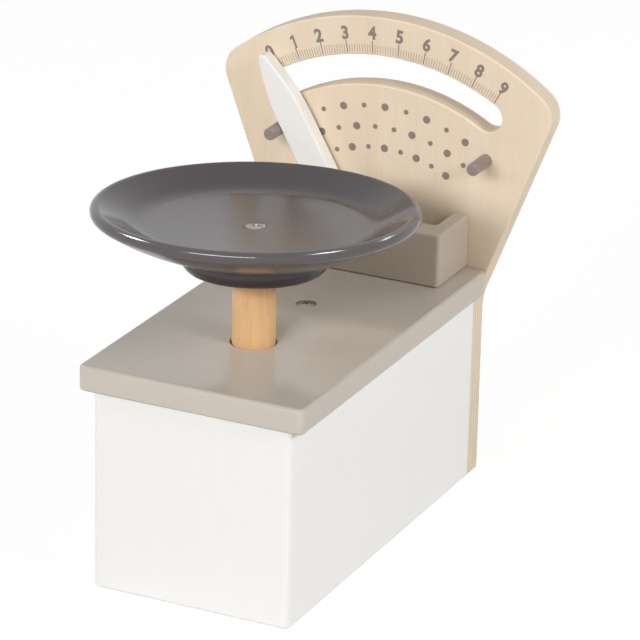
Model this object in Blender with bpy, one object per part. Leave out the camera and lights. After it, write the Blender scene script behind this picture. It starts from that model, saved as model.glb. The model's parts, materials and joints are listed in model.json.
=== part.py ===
# Wooden toy kitchen scale: a dish on a sliding post, a lever hidden in the box and a pointer on a dial board.
# Bench coordinates: X to the right, Y from the box's front face towards the back, Z up from the floor.

import math

import bmesh
import bpy
from mathutils import Euler, Matrix, Vector

MM = 0.001

# Gaps between pieces
SEAT_GAP = 0.3 * MM
POST_PLAY = 0.75 * MM
GUIDE_PLAY = 1.3 * MM
PIVOT_PLAY = 0.3 * MM
STOP_GAP = 0.3 * MM
DRIVE_PLAY = 1.2 * MM
SWING_ROOM = 2.5 * MM

# White box
BOX_WIDTH = 96.5 * MM
BOX_DEPTH = 192.4 * MM
BOX_HEIGHT = 93.5 * MM
PANEL_THICKNESS = 10.0 * MM
PANEL_CORNER = 1.4 * MM
PANEL_EASE = 0.3 * MM
BOTTOM_THICKNESS = 6.0 * MM
BATTEN_SIZE = 12.0 * MM
BATTEN_END = 4.0 * MM

# Top plate
PLATE_THICKNESS = 12.0 * MM
PLATE_SIDE_OVERHANG = 6.2 * MM
PLATE_FRONT_OVERHANG = 3.0 * MM
PLATE_CORNER = 2.0 * MM
PLATE_EASE = 1.3 * MM

# Dial board
BOARD_THICKNESS = 12.0 * MM
BOARD_EASE = 0.9 * MM
BOARD_FOOT_CORNER = 2.5 * MM
FLARE_HEIGHT = 88.0 * MM
FLARE_ANGLE = math.radians(20.8)
FLARE_FILLET = 30.0 * MM
DIAL_HEIGHT = 89.7 * MM
DIAL_RADIUS = 128.8 * MM
DIAL_CORNER = 13.0 * MM
SLOT_OUTER_RADIUS = 110.3 * MM
SLOT_INNER_RADIUS = 96.3 * MM
POINTER_HALF_SWING = math.radians(30.0)

# Pointer and its stops
POINTER_LENGTH = 120.4 * MM
POINTER_WIDTH = 14.0 * MM
POINTER_THICKNESS = 9.5 * MM
POINTER_STANDOFF = 1.5 * MM
POINTER_STRAIGHT = 85.0 * MM
POINTER_TIP_RADIUS = 1.4 * MM
POINTER_EASE = 0.9 * MM
CRANK_HALF_WIDTH = 8.0 * MM
CRANK_WALL = 5.0 * MM
PIVOT_PIN_DIAMETER = 6.0 * MM
PIVOT_HEAD_DIAMETER = 12.0 * MM
PIVOT_HEAD_HEIGHT = 2.5 * MM
PIVOT_PIN_DEPTH = 8.0 * MM
WASHER_DIAMETER = 15.0 * MM
PEG_DIAMETER = 6.0 * MM
PEG_REACH = 16.0 * MM
PEG_DEPTH = 8.0 * MM
PEG_EASE = 0.8 * MM
PEG_CIRCLE_RADIUS = 86.0 * MM

# Block behind which the pointer swings
HOUSING_WIDTH = 89.0 * MM
HOUSING_DEPTH = 34.4 * MM
HOUSING_HEIGHT = 25.5 * MM
HOUSING_EASE = 1.3 * MM
HOUSING_CORNER = 1.5 * MM
NOTCH_WIDTH = 73.0 * MM
NOTCH_DEPTH = 20.0 * MM

# Dish and post
POST_DISTANCE = 59.2 * MM
POST_DIAMETER = 19.5 * MM
POST_STAND = 33.0 * MM
# The post stands a little askew in its loose hole, so the dish dips to the back and the left.
POST_LEAN_BACK = math.radians(2.9)
POST_LEAN_LEFT = math.radians(1.4)
POST_FOOT_HEIGHT = 44.0 * MM
POST_EASE = 0.6 * MM
POST_TRAVEL = 12.0 * MM
DISH_RADIUS = 72.7 * MM
DISH_HEIGHT = 29.3 * MM
DISH_LIP_RADIUS = 2.6 * MM
DISH_FLOOR_HEIGHT = 20.0 * MM
DISH_WALL_ANGLE = math.radians(27.5)
DISH_FLOOR_FILLET = 25.0 * MM
DISH_FOOT_RADIUS = 32.5 * MM
DISH_FOOT_HEIGHT = 7.3 * MM
DISH_FOOT_EDGE = 5.0 * MM
DISH_STEP = 0.8 * MM
DISH_BELLY_RADIUS = 57.0 * MM
DISH_BELLY_HEIGHT = 15.3 * MM
DISH_UNDERLIP_ANGLE = math.radians(-60.0)

# Guide cup and return spring
CUP_WALL = 6.0 * MM
CUP_FLOOR = 4.0 * MM
CUP_HEIGHT = 46.0 * MM
SPRING_WIRE = 1.5 * MM
SPRING_CLEARANCE = 1.6 * MM
SPRING_TURNS = 6
SPRING_POINTS_PER_TURN = 16

# Lever under the plate
FULCRUM_DISTANCE = 112.3 * MM
FULCRUM_WIDTH = 12.0 * MM
FULCRUM_DEPTH = 18.0 * MM
LEVER_HEIGHT = 73.0 * MM
LEVER_WIDTH = 41.0 * MM
LEVER_THICKNESS = 12.0 * MM
LEVER_EASE = 0.8 * MM
LEVER_CORNER = 3.0 * MM
FORK_PLAY = 1.75 * MM
TINE_REACH = 12.0 * MM
LEVER_PIN_DIAMETER = 5.0 * MM
CROSS_PIN_DIAMETER = 5.0 * MM
DRIVE_PIN_DIAMETER = 5.0 * MM
RISER_THICKNESS = 8.0 * MM
RISER_WALL = 3.0 * MM
PIN_EASE = 0.4 * MM
PIN_END = 1.0 * MM

# Fasteners
SCREW_HEAD_DIAMETER = 9.4 * MM
SCREW_SHANK_DIAMETER = 4.0 * MM
SCREW_DOME = 0.5 * MM
DISH_SCREW_GRIP = 20.0 * MM
FULCRUM_SCREW_LENGTH = 26.0 * MM
SMALL_HEAD_DIAMETER = 7.0 * MM
SMALL_SHANK_DIAMETER = 3.5 * MM
SMALL_SINK = 0.4 * MM
BOARD_SCREW_LENGTH = 36.0 * MM
BOARD_SCREW_HEIGHTS = (22.0 * MM, 70.0 * MM)
BOTTOM_SCREW_LENGTH = 15.0 * MM
BOTTOM_SCREW_INSET = 32.0 * MM
HOUSING_SCREW_LENGTH = 30.0 * MM
HOUSING_SCREW_WALL = 6.0 * MM
DOWEL_DIAMETER = 5.0 * MM
DOWEL_LENGTH = 19.0 * MM
DOWEL_DEPTH_IN_PLATE = 7.0 * MM
DOWEL_INSET = 35.0 * MM

# Facets
FACET = math.radians(12.0)
EASE_STEPS = 2
LARGE_SIDES = 56
ROUND_SIDES = 32
SMALL_SIDES = 16
HIDDEN_SIDES = 12
WELD = 0.001 * MM
CUT_OVERRUN = 2.0 * MM

# Worked-out places
HALF_BOX = BOX_WIDTH / 2
PLATE_TOP = BOX_HEIGHT + PLATE_THICKNESS
BOARD_BACK = BOX_DEPTH + BOARD_THICKNESS
INNER_HALF = HALF_BOX - PANEL_THICKNESS
PANEL_MIDDLE = HALF_BOX - PANEL_THICKNESS / 2
POST_RADIUS = POST_DIAMETER / 2
DISH_BASE = PLATE_TOP + POST_STAND
PLATE_MIDDLE = BOX_HEIGHT + PLATE_THICKNESS / 2
POST_TILT = Euler((-POST_LEAN_BACK, -POST_LEAN_LEFT, 0))
POST_DIRECTION = POST_TILT.to_matrix() @ Vector((0, 0, 1))
POST_SLANT = POST_DIRECTION.angle(Vector((0, 0, 1)))
DISH_LIP_HEIGHT = DISH_BASE + DISH_HEIGHT - DISH_LIP_RADIUS - PLATE_MIDDLE
DISH_FRONT = (POST_DISTANCE + DISH_LIP_HEIGHT * math.sin(POST_LEAN_BACK)
              - (DISH_RADIUS - DISH_LIP_RADIUS) * math.cos(POST_LEAN_BACK) - DISH_LIP_RADIUS)
POINTER_FRONT = BOX_DEPTH - POINTER_STANDOFF - POINTER_THICKNESS
FRONT_ARM = FULCRUM_DISTANCE - POST_DISTANCE
DRIVE_ARM = POINTER_FRONT + POINTER_THICKNESS / 2 - FULCRUM_DISTANCE
LEVER_HALF_SWING = math.atan(POST_TRAVEL / 2 / FRONT_ARM)
DRIVE_LIFT = DRIVE_ARM * math.tan(LEVER_HALF_SWING)
# The crank's fork turns while the drive pin goes straight up: this reach splits the error over the swing.
CRANK_REACH = (DRIVE_LIFT * (math.cos(POINTER_HALF_SWING) + math.cos(POINTER_HALF_SWING / 2) / 2)
               / (math.sin(POINTER_HALF_SWING) + math.sin(POINTER_HALF_SWING / 2)))
CRANK_SLOT_HALF = DRIVE_PIN_DIAMETER / 2 + DRIVE_PLAY
CRANK_SLOT_ROOT = CRANK_REACH - CRANK_SLOT_HALF
CRANK_END = math.hypot(CRANK_REACH, DRIVE_LIFT) + CRANK_WALL
RISER_HALF = DRIVE_PIN_DIAMETER / 2 + RISER_WALL
DRIVE_HEIGHT = DIAL_HEIGHT - LEVER_HEIGHT
RISER_BACK = POINTER_FRONT - FULCRUM_DISTANCE - SWING_ROOM - DRIVE_HEIGHT * math.sin(LEVER_HALF_SWING)
RISER_FRONT = RISER_BACK - RISER_THICKNESS
CUTOUT_HALF = math.hypot(CRANK_END, CRANK_HALF_WIDTH) + SWING_ROOM
CUTOUT_FRONT = (FULCRUM_DISTANCE + RISER_FRONT - SWING_ROOM
                - (DRIVE_HEIGHT + DRIVE_LIFT) * math.sin(LEVER_HALF_SWING))
CROSS_PIN_HEIGHT = (LEVER_HEIGHT + POST_TRAVEL / 2 + SEAT_GAP + LEVER_WIDTH / 2 * math.tan(POST_LEAN_LEFT)
                    + (LEVER_THICKNESS + CROSS_PIN_DIAMETER) / 2 / math.cos(LEVER_HALF_SWING))
PEG_ANGLE = POINTER_HALF_SWING + math.asin(
    ((POINTER_WIDTH + PEG_DIAMETER) / 2 + STOP_GAP) / PEG_CIRCLE_RADIUS)
FRAME_MIDDLE = (min(DISH_FRONT, -PLATE_FRONT_OVERHANG) + BOARD_BACK) / 2

X_AXIS = (0, math.radians(90), 0)
Y_AXIS = (math.radians(-90), 0, 0)
DOWN = (math.radians(180), 0, 0)

# Finishes: sRGB colour, roughness, metallic
FINISHES = {
    "white_paint": ((240, 239, 235), 0.45, 0.0),
    "taupe_paint": ((172, 161, 149), 0.40, 0.0),
    "dish_lacquer": ((88, 86, 87), 0.15, 0.0),
    "plywood": ((231, 211, 182), 0.50, 0.0),
    "beech": ((222, 182, 132), 0.50, 0.0),
    "grey_paint": ((146, 133, 126), 0.45, 0.0),
    "steel": ((200, 200, 198), 0.25, 1.0),
    "spring_steel": ((150, 150, 152), 0.30, 1.0),
}


def linear(channel):
    value = channel / 255
    return value / 12.92 if value <= 0.04045 else ((value + 0.055) / 1.055) ** 2.4


def finish(name):
    material = bpy.data.materials.get(name) or bpy.data.materials.new(name)
    colour, roughness, metallic = FINISHES[name]
    material.use_nodes = True
    shader = material.node_tree.nodes["Principled BSDF"]
    shader.inputs["Base Color"].default_value = (*(linear(c) for c in colour), 1.0)
    shader.inputs["Roughness"].default_value = roughness
    shader.inputs["Metallic"].default_value = metallic
    return material


def rounded(corners):
    """Closed outline through (x, y, radius) corners, each turned into an arc of that radius."""
    outline = []
    for i, (x, y, radius) in enumerate(corners):
        corner = Vector((x, y))
        before = (Vector(corners[i - 1][:2]) - corner).normalized()
        after = (Vector(corners[(i + 1) % len(corners)][:2]) - corner).normalized()
        if radius == 0:
            outline.append(corner)
            continue
        angle = before.angle(after)
        centre = corner + (before + after).normalized() * radius / math.sin(angle / 2)
        start = corner + before * radius / math.tan(angle / 2) - centre
        sweep = math.copysign(math.pi - angle, after.x * before.y - after.y * before.x)
        steps = max(2, math.ceil(abs(sweep) / FACET))
        outline += [centre + Matrix.Rotation(sweep * k / steps, 2) @ start for k in range(steps + 1)]
    return outline


def arc(centre, radius, start, end, facet=FACET):
    """Points on an arc; angles count from +X towards the outline's second axis."""
    steps = max(2, math.ceil(abs(end - start) / facet))
    turns = [start + (end - start) * k / steps for k in range(steps + 1)]
    return [Vector(centre) + radius * Vector((math.cos(t), math.sin(t))) for t in turns]


def inset(outline, distance):
    """The outline moved inwards; it runs anticlockwise."""
    moved = []
    for i, point in enumerate(outline):
        ahead = (outline[(i + 1) % len(outline)] - point).normalized()
        back = (point - outline[i - 1]).normalized()
        normal_a = Vector((-ahead.y, ahead.x))
        normal_b = Vector((-back.y, back.x))
        moved.append(point + (normal_a + normal_b) * distance / (1 + normal_a.dot(normal_b)))
    return moved


def facing_out(bm):
    bm.normal_update()
    bmesh.ops.recalc_face_normals(bm, faces=bm.faces)
    if bm.calc_volume(signed=True) < 0:
        bmesh.ops.reverse_faces(bm, faces=bm.faces)
    return bm


def lofted(rings, axis):
    """Solid through (level, outline) rings; the outline lies square to the named axis."""
    place = {
        "X": lambda p, level: (level, p.x, p.y),
        "Y": lambda p, level: (p.x, level, p.y),
        "Z": lambda p, level: (p.x, p.y, level),
    }[axis]
    bm = bmesh.new()
    loops = [[bm.verts.new(place(p, level)) for p in outline] for level, outline in rings]
    for lower, upper in zip(loops, loops[1:]):
        for i in range(len(lower)):
            bm.faces.new((lower[i - 1], lower[i], upper[i], upper[i - 1]))
    bm.faces.new(loops[0])
    bm.faces.new(loops[-1])
    return facing_out(bm)


def ease_levels(low, high, ease):
    """(level, inset) pairs of a thickness whose two edges are rounded by ease."""
    turns = [math.pi / 2 * k / EASE_STEPS for k in range(EASE_STEPS + 1)]
    edge = [(abs(ease) * (1 - math.cos(t)), ease * (1 - math.sin(t))) for t in turns]
    return [(low + a, b) for a, b in edge] + [(high - a, b) for a, b in reversed(edge)]


def slab(outline, low, high, axis="Z", ease=0.0):
    levels = ease_levels(low, high, ease) if ease else [(low, 0.0), (high, 0.0)]
    return lofted([(level, inset(outline, step)) for level, step in levels], axis)


def opening(outline, low, high, axis="Z", ease=0.0):
    """Cutter for an opening through a thickness, flared where the opening's edges are rounded."""
    levels = ease_levels(low, high, -ease) if ease else [(low, 0.0), (high, 0.0)]
    levels = [(low - CUT_OVERRUN, levels[0][1]), *levels, (high + CUT_OVERRUN, levels[-1][1])]
    return lofted([(level, inset(outline, step)) for level, step in levels], axis)


def turned(profile, sides, closed=False):
    """Solid of revolution about Z of (radius, height) points; a closed profile makes a ring."""
    bm = bmesh.new()
    verts = [bm.verts.new((radius, 0, height)) for radius, height in profile]
    edges = [bm.edges.new(pair) for pair in zip(verts, verts[1:])]
    if closed:
        edges.append(bm.edges.new((verts[-1], verts[0])))
    bmesh.ops.spin(bm, geom=verts + edges, axis=(0, 0, 1), cent=(0, 0, 0), dvec=(0, 0, 0),
                   angle=math.tau, steps=sides, use_merge=True)
    bmesh.ops.remove_doubles(bm, verts=bm.verts, dist=WELD)
    return facing_out(bm)


def rod(diameter, length, ease=0.0, sides=HIDDEN_SIDES):
    radius = diameter / 2
    if not ease:
        return turned([(0, 0), (radius, 0), (radius, length), (0, length)], sides)
    return turned([(0, 0), (radius - ease, 0), (radius, ease), (radius, length - ease),
                   (radius - ease, length), (0, length)], sides)


def countersunk(head, shank, length, dome=0.0, sides=HIDDEN_SIDES):
    """Screw pointing down from the level of its head's rim, with a domed or flat top."""
    cone = (head - shank) / 2
    top = [(0, dome), (head * 0.3, dome * 0.7)] if dome else [(0, 0)]
    return turned([*top, (head / 2, 0), (shank / 2, -cone), (shank / 2, shank - length), (0, -length)], sides)


def countersunk_hole(head, shank, length, sides=HIDDEN_SIDES):
    cone = (head - shank) / 2
    rim = head / 2 + SEAT_GAP
    return turned([(0, CUT_OVERRUN), (rim, CUT_OVERRUN), (rim, 0), (shank / 2 + SEAT_GAP, -cone),
                   (shank / 2 + SEAT_GAP, -length - SEAT_GAP), (0, -length - SEAT_GAP)], sides)


def small_screw(length):
    return countersunk(SMALL_HEAD_DIAMETER, SMALL_SHANK_DIAMETER, length)


def small_hole(length):
    return countersunk_hole(SMALL_HEAD_DIAMETER, SMALL_SHANK_DIAMETER, length)


def placed(bm, location, rotation=(0, 0, 0)):
    turn = Matrix.Rotation(rotation[1], 3, "Y") @ Matrix.Rotation(rotation[0], 3, "X")
    bmesh.ops.transform(bm, matrix=Matrix.Translation(location) @ turn.to_4x4(), verts=bm.verts)
    return bm


def as_mesh(name, bm):
    mesh = bpy.data.meshes.new(name)
    bm.to_mesh(mesh)
    bm.free()
    mesh.shade_smooth()
    mesh.set_sharp_from_angle(angle=math.radians(35))
    return mesh


def axis_empty(name, location, rotation=(0, 0, 0), parent=None):
    empty = bpy.data.objects.new(name, None)
    bpy.context.scene.collection.objects.link(empty)
    empty.location = location
    empty.rotation_euler = rotation
    empty.parent = parent
    return empty


def add(name, bm, material, parent, location=(0, 0, 0), rotation=(0, 0, 0)):
    piece = bpy.data.objects.new(name, as_mesh(name, bm))
    bpy.context.scene.collection.objects.link(piece)
    piece.data.materials.append(finish(material))
    piece.parent = parent
    piece.location = location
    piece.rotation_euler = rotation
    return piece


def cut(piece, *cutters):
    """Takes cutters that stay clear of each other, given in the piece's own coordinates, out of it."""
    joined = bmesh.new()
    for cutter in cutters:
        mesh = bpy.data.meshes.new("cutter")
        cutter.to_mesh(mesh)
        cutter.free()
        joined.from_mesh(mesh)
        bpy.data.meshes.remove(mesh)
    tool = add(piece.name + "_cutter", joined, "steel", piece.parent, piece.location, piece.rotation_euler)
    tool.hide_render = True
    tool.display_type = "WIRE"
    modifier = piece.modifiers.new("holes", "BOOLEAN")
    modifier.operation = "DIFFERENCE"
    modifier.solver = "EXACT"
    modifier.object = tool


def mirrored(outline):
    """The left half of a symmetrical outline, from its right half read upwards."""
    return [Vector((-p.x, p.y)) for p in reversed(outline)]


def box_outline(low_x, low_y, high_x, high_y, corner=0.0):
    return rounded([(low_x, low_y, corner), (high_x, low_y, corner),
                    (high_x, high_y, corner), (low_x, high_y, corner)])


def dowel_places():
    rows = (DOWEL_INSET, BOX_DEPTH - DOWEL_INSET)
    return [(side * PANEL_MIDDLE, y) for side in (-1, 1) for y in rows]


def dowel_holes(x_wanted=None):
    low = BOX_HEIGHT + DOWEL_DEPTH_IN_PLATE - DOWEL_LENGTH - SEAT_GAP
    holes = []
    for x, y in dowel_places():
        if x_wanted is None or x * x_wanted > 0:
            hole = rod(DOWEL_DIAMETER + 2 * SEAT_GAP, DOWEL_LENGTH + 2 * SEAT_GAP)
            holes.append(placed(hole, (x, y, low)))
    return holes


def board_screw_places(side):
    return [(side * PANEL_MIDDLE, BOARD_BACK - SMALL_SINK, z) for z in BOARD_SCREW_HEIGHTS]


def board_screw_holes(side):
    return [placed(small_hole(BOARD_SCREW_LENGTH), p, Y_AXIS) for p in board_screw_places(side)]


def build_box(frame):
    gap = math.asin(SEAT_GAP / 2 / PANEL_CORNER)
    corner = (HALF_BOX - PANEL_CORNER, PANEL_CORNER)
    mitre = math.radians(-45)
    shift = SEAT_GAP / math.sqrt(2)

    right = arc(corner, PANEL_CORNER, math.radians(-90), mitre - gap, 2 * FACET)
    right.append(Vector((INNER_HALF - shift, PANEL_THICKNESS)))
    outline = right + mirrored(right)
    add("front_panel", slab(outline, 0, BOX_HEIGHT - SEAT_GAP, ease=PANEL_EASE), "white_paint", frame)

    back = BOX_DEPTH - SEAT_GAP
    outline = arc(corner, PANEL_CORNER, mitre + gap, 0, 2 * FACET)
    outline += [Vector((HALF_BOX, back)), Vector((INNER_HALF, back))]
    outline.append(Vector((INNER_HALF, PANEL_THICKNESS + shift)))
    for name, side, shape in (("left_side_panel", -1, mirrored(outline)), ("right_side_panel", 1, outline)):
        panel = add(name, slab(shape, 0, BOX_HEIGHT - SEAT_GAP, ease=PANEL_EASE), "white_paint", frame)
        cut(panel, *dowel_holes(side), *board_screw_holes(side))

    half = INNER_HALF - SEAT_GAP
    outline = box_outline(-half, PANEL_THICKNESS + SEAT_GAP, half, back)
    bottom = add("bottom_panel", slab(outline, 0, BOTTOM_THICKNESS), "white_paint", frame)
    screw_x = half - BATTEN_SIZE / 2
    places = [(side * screw_x, y, SMALL_SINK) for side in (-1, 1)
              for y in (BOTTOM_SCREW_INSET, BOX_DEPTH - BOTTOM_SCREW_INSET)]

    def screw_holes(side):
        return [placed(small_hole(BOTTOM_SCREW_LENGTH), p, DOWN) for p in places if p[0] * side >= 0]

    cut(bottom, *screw_holes(0))
    low = BOTTOM_THICKNESS + SEAT_GAP
    for name, side in (("left_batten", -1), ("right_batten", 1)):
        edges = sorted((side * half, side * (half - BATTEN_SIZE)))
        outline = box_outline(edges[0], PANEL_THICKNESS + BATTEN_END, edges[1], BOX_DEPTH - BATTEN_END)
        cut(add(name, slab(outline, low, low + BATTEN_SIZE), "beech", frame), *screw_holes(side))
    for number, place in enumerate(places, 1):
        add(f"bottom_screw_{number}", small_screw(BOTTOM_SCREW_LENGTH), "steel", frame, place, DOWN)


def housing_screw_places():
    x = CUTOUT_HALF + HOUSING_SCREW_WALL
    y = BOX_DEPTH - NOTCH_DEPTH - (HOUSING_DEPTH - NOTCH_DEPTH) / 2
    return [(side * x, y, BOX_HEIGHT + SMALL_SINK) for side in (-1, 1)]


def housing_screw_holes():
    return [placed(small_hole(HOUSING_SCREW_LENGTH), p, DOWN) for p in housing_screw_places()]


def fulcrum_screw_hole():
    hole = countersunk_hole(SCREW_HEAD_DIAMETER, SCREW_SHANK_DIAMETER, FULCRUM_SCREW_LENGTH, SMALL_SIDES)
    return placed(hole, (0, FULCRUM_DISTANCE, PLATE_TOP))


def build_top_plate(frame):
    half = HALF_BOX + PLATE_SIDE_OVERHANG
    back = BOX_DEPTH - SEAT_GAP
    outline = rounded([
        (-half, -PLATE_FRONT_OVERHANG, PLATE_CORNER), (half, -PLATE_FRONT_OVERHANG, PLATE_CORNER),
        (half, back, 0), (CUTOUT_HALF, back, 0), (CUTOUT_HALF, CUTOUT_FRONT, PLATE_CORNER),
        (-CUTOUT_HALF, CUTOUT_FRONT, PLATE_CORNER), (-CUTOUT_HALF, back, 0), (-half, back, 0)])
    plate = add("top_plate", slab(outline, BOX_HEIGHT, PLATE_TOP, ease=PLATE_EASE), "taupe_paint", frame)
    post_hole = rod(POST_DIAMETER + 2 * POST_PLAY, PLATE_THICKNESS + 2 * CUT_OVERRUN, sides=ROUND_SIDES)
    cut(plate, placed(post_hole, (0, POST_DISTANCE, BOX_HEIGHT - CUT_OVERRUN)), fulcrum_screw_hole(),
        *dowel_holes(), *housing_screw_holes())
    low = BOX_HEIGHT + DOWEL_DEPTH_IN_PLATE - DOWEL_LENGTH
    for number, (x, y) in enumerate(dowel_places(), 1):
        add(f"plate_dowel_{number}", rod(DOWEL_DIAMETER, DOWEL_LENGTH, PIN_EASE), "beech", frame, (x, y, low))


def board_outline():
    """Right half of the dial board, from the floor up to the middle of the arc."""
    lean = Vector((math.sin(FLARE_ANGLE), math.cos(FLARE_ANGLE)))
    bend = Vector((HALF_BOX, FLARE_HEIGHT))
    dial = Vector((0, DIAL_HEIGHT))
    # The upper corner's arc touches the slanted side and the dial arc from inside.
    inner = Vector((-lean.y, lean.x))
    start = bend + inner * DIAL_CORNER - dial
    along = -start.dot(lean) + math.sqrt(
        start.dot(lean) ** 2 - start.length_squared + (DIAL_RADIUS - DIAL_CORNER) ** 2)
    corner = dial + start + lean * along
    touch = (corner - dial).normalized()
    side_turn = math.atan2(-inner.y, -inner.x)
    dial_turn = math.atan2(touch.y, touch.x)
    side_end = corner - inner * DIAL_CORNER

    foot = rounded([(0, 0, 0), (HALF_BOX, 0, BOARD_FOOT_CORNER), (*bend, FLARE_FILLET), (*side_end, 0)])
    upper = arc(corner, DIAL_CORNER, side_turn, dial_turn)
    crown = arc(dial, DIAL_RADIUS, dial_turn, math.pi / 2, FACET / 3)
    return foot[1:-1] + upper[:-1] + crown


def slot_outline():
    """Curved slot about the dial's centre, with full-round ends."""
    dial = Vector((0, DIAL_HEIGHT))
    middle = (SLOT_OUTER_RADIUS + SLOT_INNER_RADIUS) / 2
    end_radius = (SLOT_OUTER_RADIUS - SLOT_INNER_RADIUS) / 2
    low = math.pi / 2 - POINTER_HALF_SWING
    high = math.pi / 2 + POINTER_HALF_SWING
    right = dial + middle * Vector((math.cos(low), math.sin(low)))
    left = dial + middle * Vector((math.cos(high), math.sin(high)))
    outer = arc(dial, SLOT_OUTER_RADIUS, low, high, FACET / 3)
    inner = arc(dial, SLOT_INNER_RADIUS, high, low, FACET / 3)
    left_end = arc(left, end_radius, high, high + math.pi)
    right_end = arc(right, end_radius, low - math.pi, low)
    return outer + left_end[1:-1] + inner + right_end[1:-1]


def peg_place(side):
    return (side * PEG_CIRCLE_RADIUS * math.sin(PEG_ANGLE),
            BOX_DEPTH - PEG_REACH,
            DIAL_HEIGHT + PEG_CIRCLE_RADIUS * math.cos(PEG_ANGLE))


def build_backboard(frame):
    right = board_outline()
    outline = right + mirrored(right)[1:]
    board = add("backboard", slab(outline, BOX_DEPTH, BOARD_BACK, "Y", BOARD_EASE), "plywood", frame)
    peg_length = PEG_REACH + PEG_DEPTH
    peg_hole = PEG_DIAMETER + 2 * SEAT_GAP
    peg_holes = [placed(rod(peg_hole, peg_length + SEAT_GAP, sides=SMALL_SIDES), peg_place(side), Y_AXIS)
                 for side in (-1, 1)]
    pin_hole = rod(PIVOT_PIN_DIAMETER + 2 * SEAT_GAP, CUT_OVERRUN + PIVOT_PIN_DEPTH + SEAT_GAP)
    cut(board, opening(slot_outline(), BOX_DEPTH, BOARD_BACK, "Y", BOARD_EASE), *peg_holes,
        placed(pin_hole, (0, BOX_DEPTH - CUT_OVERRUN, DIAL_HEIGHT), Y_AXIS),
        *board_screw_holes(-1), *board_screw_holes(1))
    for name, side in (("left_stop_peg", -1), ("right_stop_peg", 1)):
        peg = rod(PEG_DIAMETER, peg_length, PEG_EASE, SMALL_SIDES)
        add(name, peg, "grey_paint", frame, peg_place(side), Y_AXIS)
    places = board_screw_places(-1) + board_screw_places(1)
    for number, place in enumerate(places, 1):
        add(f"backboard_screw_{number}", small_screw(BOARD_SCREW_LENGTH), "steel", frame, place, Y_AXIS)


def build_pointer_housing(frame):
    half = HOUSING_WIDTH / 2
    notch = NOTCH_WIDTH / 2
    front = BOX_DEPTH - HOUSING_DEPTH
    back = BOX_DEPTH - SEAT_GAP
    root = BOX_DEPTH - NOTCH_DEPTH
    outline = rounded([
        (-half, front, HOUSING_CORNER), (half, front, HOUSING_CORNER), (half, back, 0), (notch, back, 0),
        (notch, root, HOUSING_CORNER), (-notch, root, HOUSING_CORNER), (-notch, back, 0), (-half, back, 0)])
    low = PLATE_TOP + SEAT_GAP
    block = add("pointer_housing", slab(outline, low, PLATE_TOP + HOUSING_HEIGHT, ease=HOUSING_EASE),
                "taupe_paint", frame)
    cut(block, *housing_screw_holes())
    for name, place in zip(("left_housing_screw", "right_housing_screw"), housing_screw_places()):
        add(name, small_screw(HOUSING_SCREW_LENGTH), "steel", frame, place, DOWN)


def dish_profile():
    """Half section of the dish above its foot's underside, from the middle out and back to the middle."""
    lip = Vector((DISH_RADIUS - DISH_LIP_RADIUS, DISH_HEIGHT - DISH_LIP_RADIUS))
    edge = Vector((DISH_FOOT_RADIUS - DISH_FOOT_EDGE, DISH_FOOT_EDGE))
    foot = [Vector((0, 0)), *arc(edge, DISH_FOOT_EDGE, math.radians(-90), 0, 3 * FACET)]
    step = Vector((DISH_FOOT_RADIUS + DISH_STEP, DISH_FOOT_HEIGHT + DISH_STEP / 2))
    rim = arc(lip, DISH_LIP_RADIUS, DISH_UNDERLIP_ANGLE, math.pi / 2 + DISH_WALL_ANGLE, 2 * FACET)
    belly = Vector((DISH_BELLY_RADIUS, DISH_BELLY_HEIGHT))
    shares = [k / 6 for k in range(6)]
    underside = [(1 - t) ** 2 * step + 2 * t * (1 - t) * belly + t ** 2 * rim[0] for t in shares]
    # The wall runs straight from the lip, and a fillet takes it into the flat floor.
    meeting = rim[-1].x - (rim[-1].y - DISH_FLOOR_HEIGHT) / math.tan(DISH_WALL_ANGLE)
    centre = Vector((meeting - DISH_FLOOR_FILLET * math.tan(DISH_WALL_ANGLE / 2),
                     DISH_FLOOR_HEIGHT + DISH_FLOOR_FILLET))
    fillet = arc(centre, DISH_FLOOR_FILLET, DISH_WALL_ANGLE - math.pi / 2, -math.pi / 2, FACET)
    foot_top = Vector((DISH_FOOT_RADIUS, DISH_FOOT_HEIGHT))
    return [*foot, foot_top, *underside, *rim, *fillet, Vector((0, DISH_FLOOR_HEIGHT))]


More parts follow.
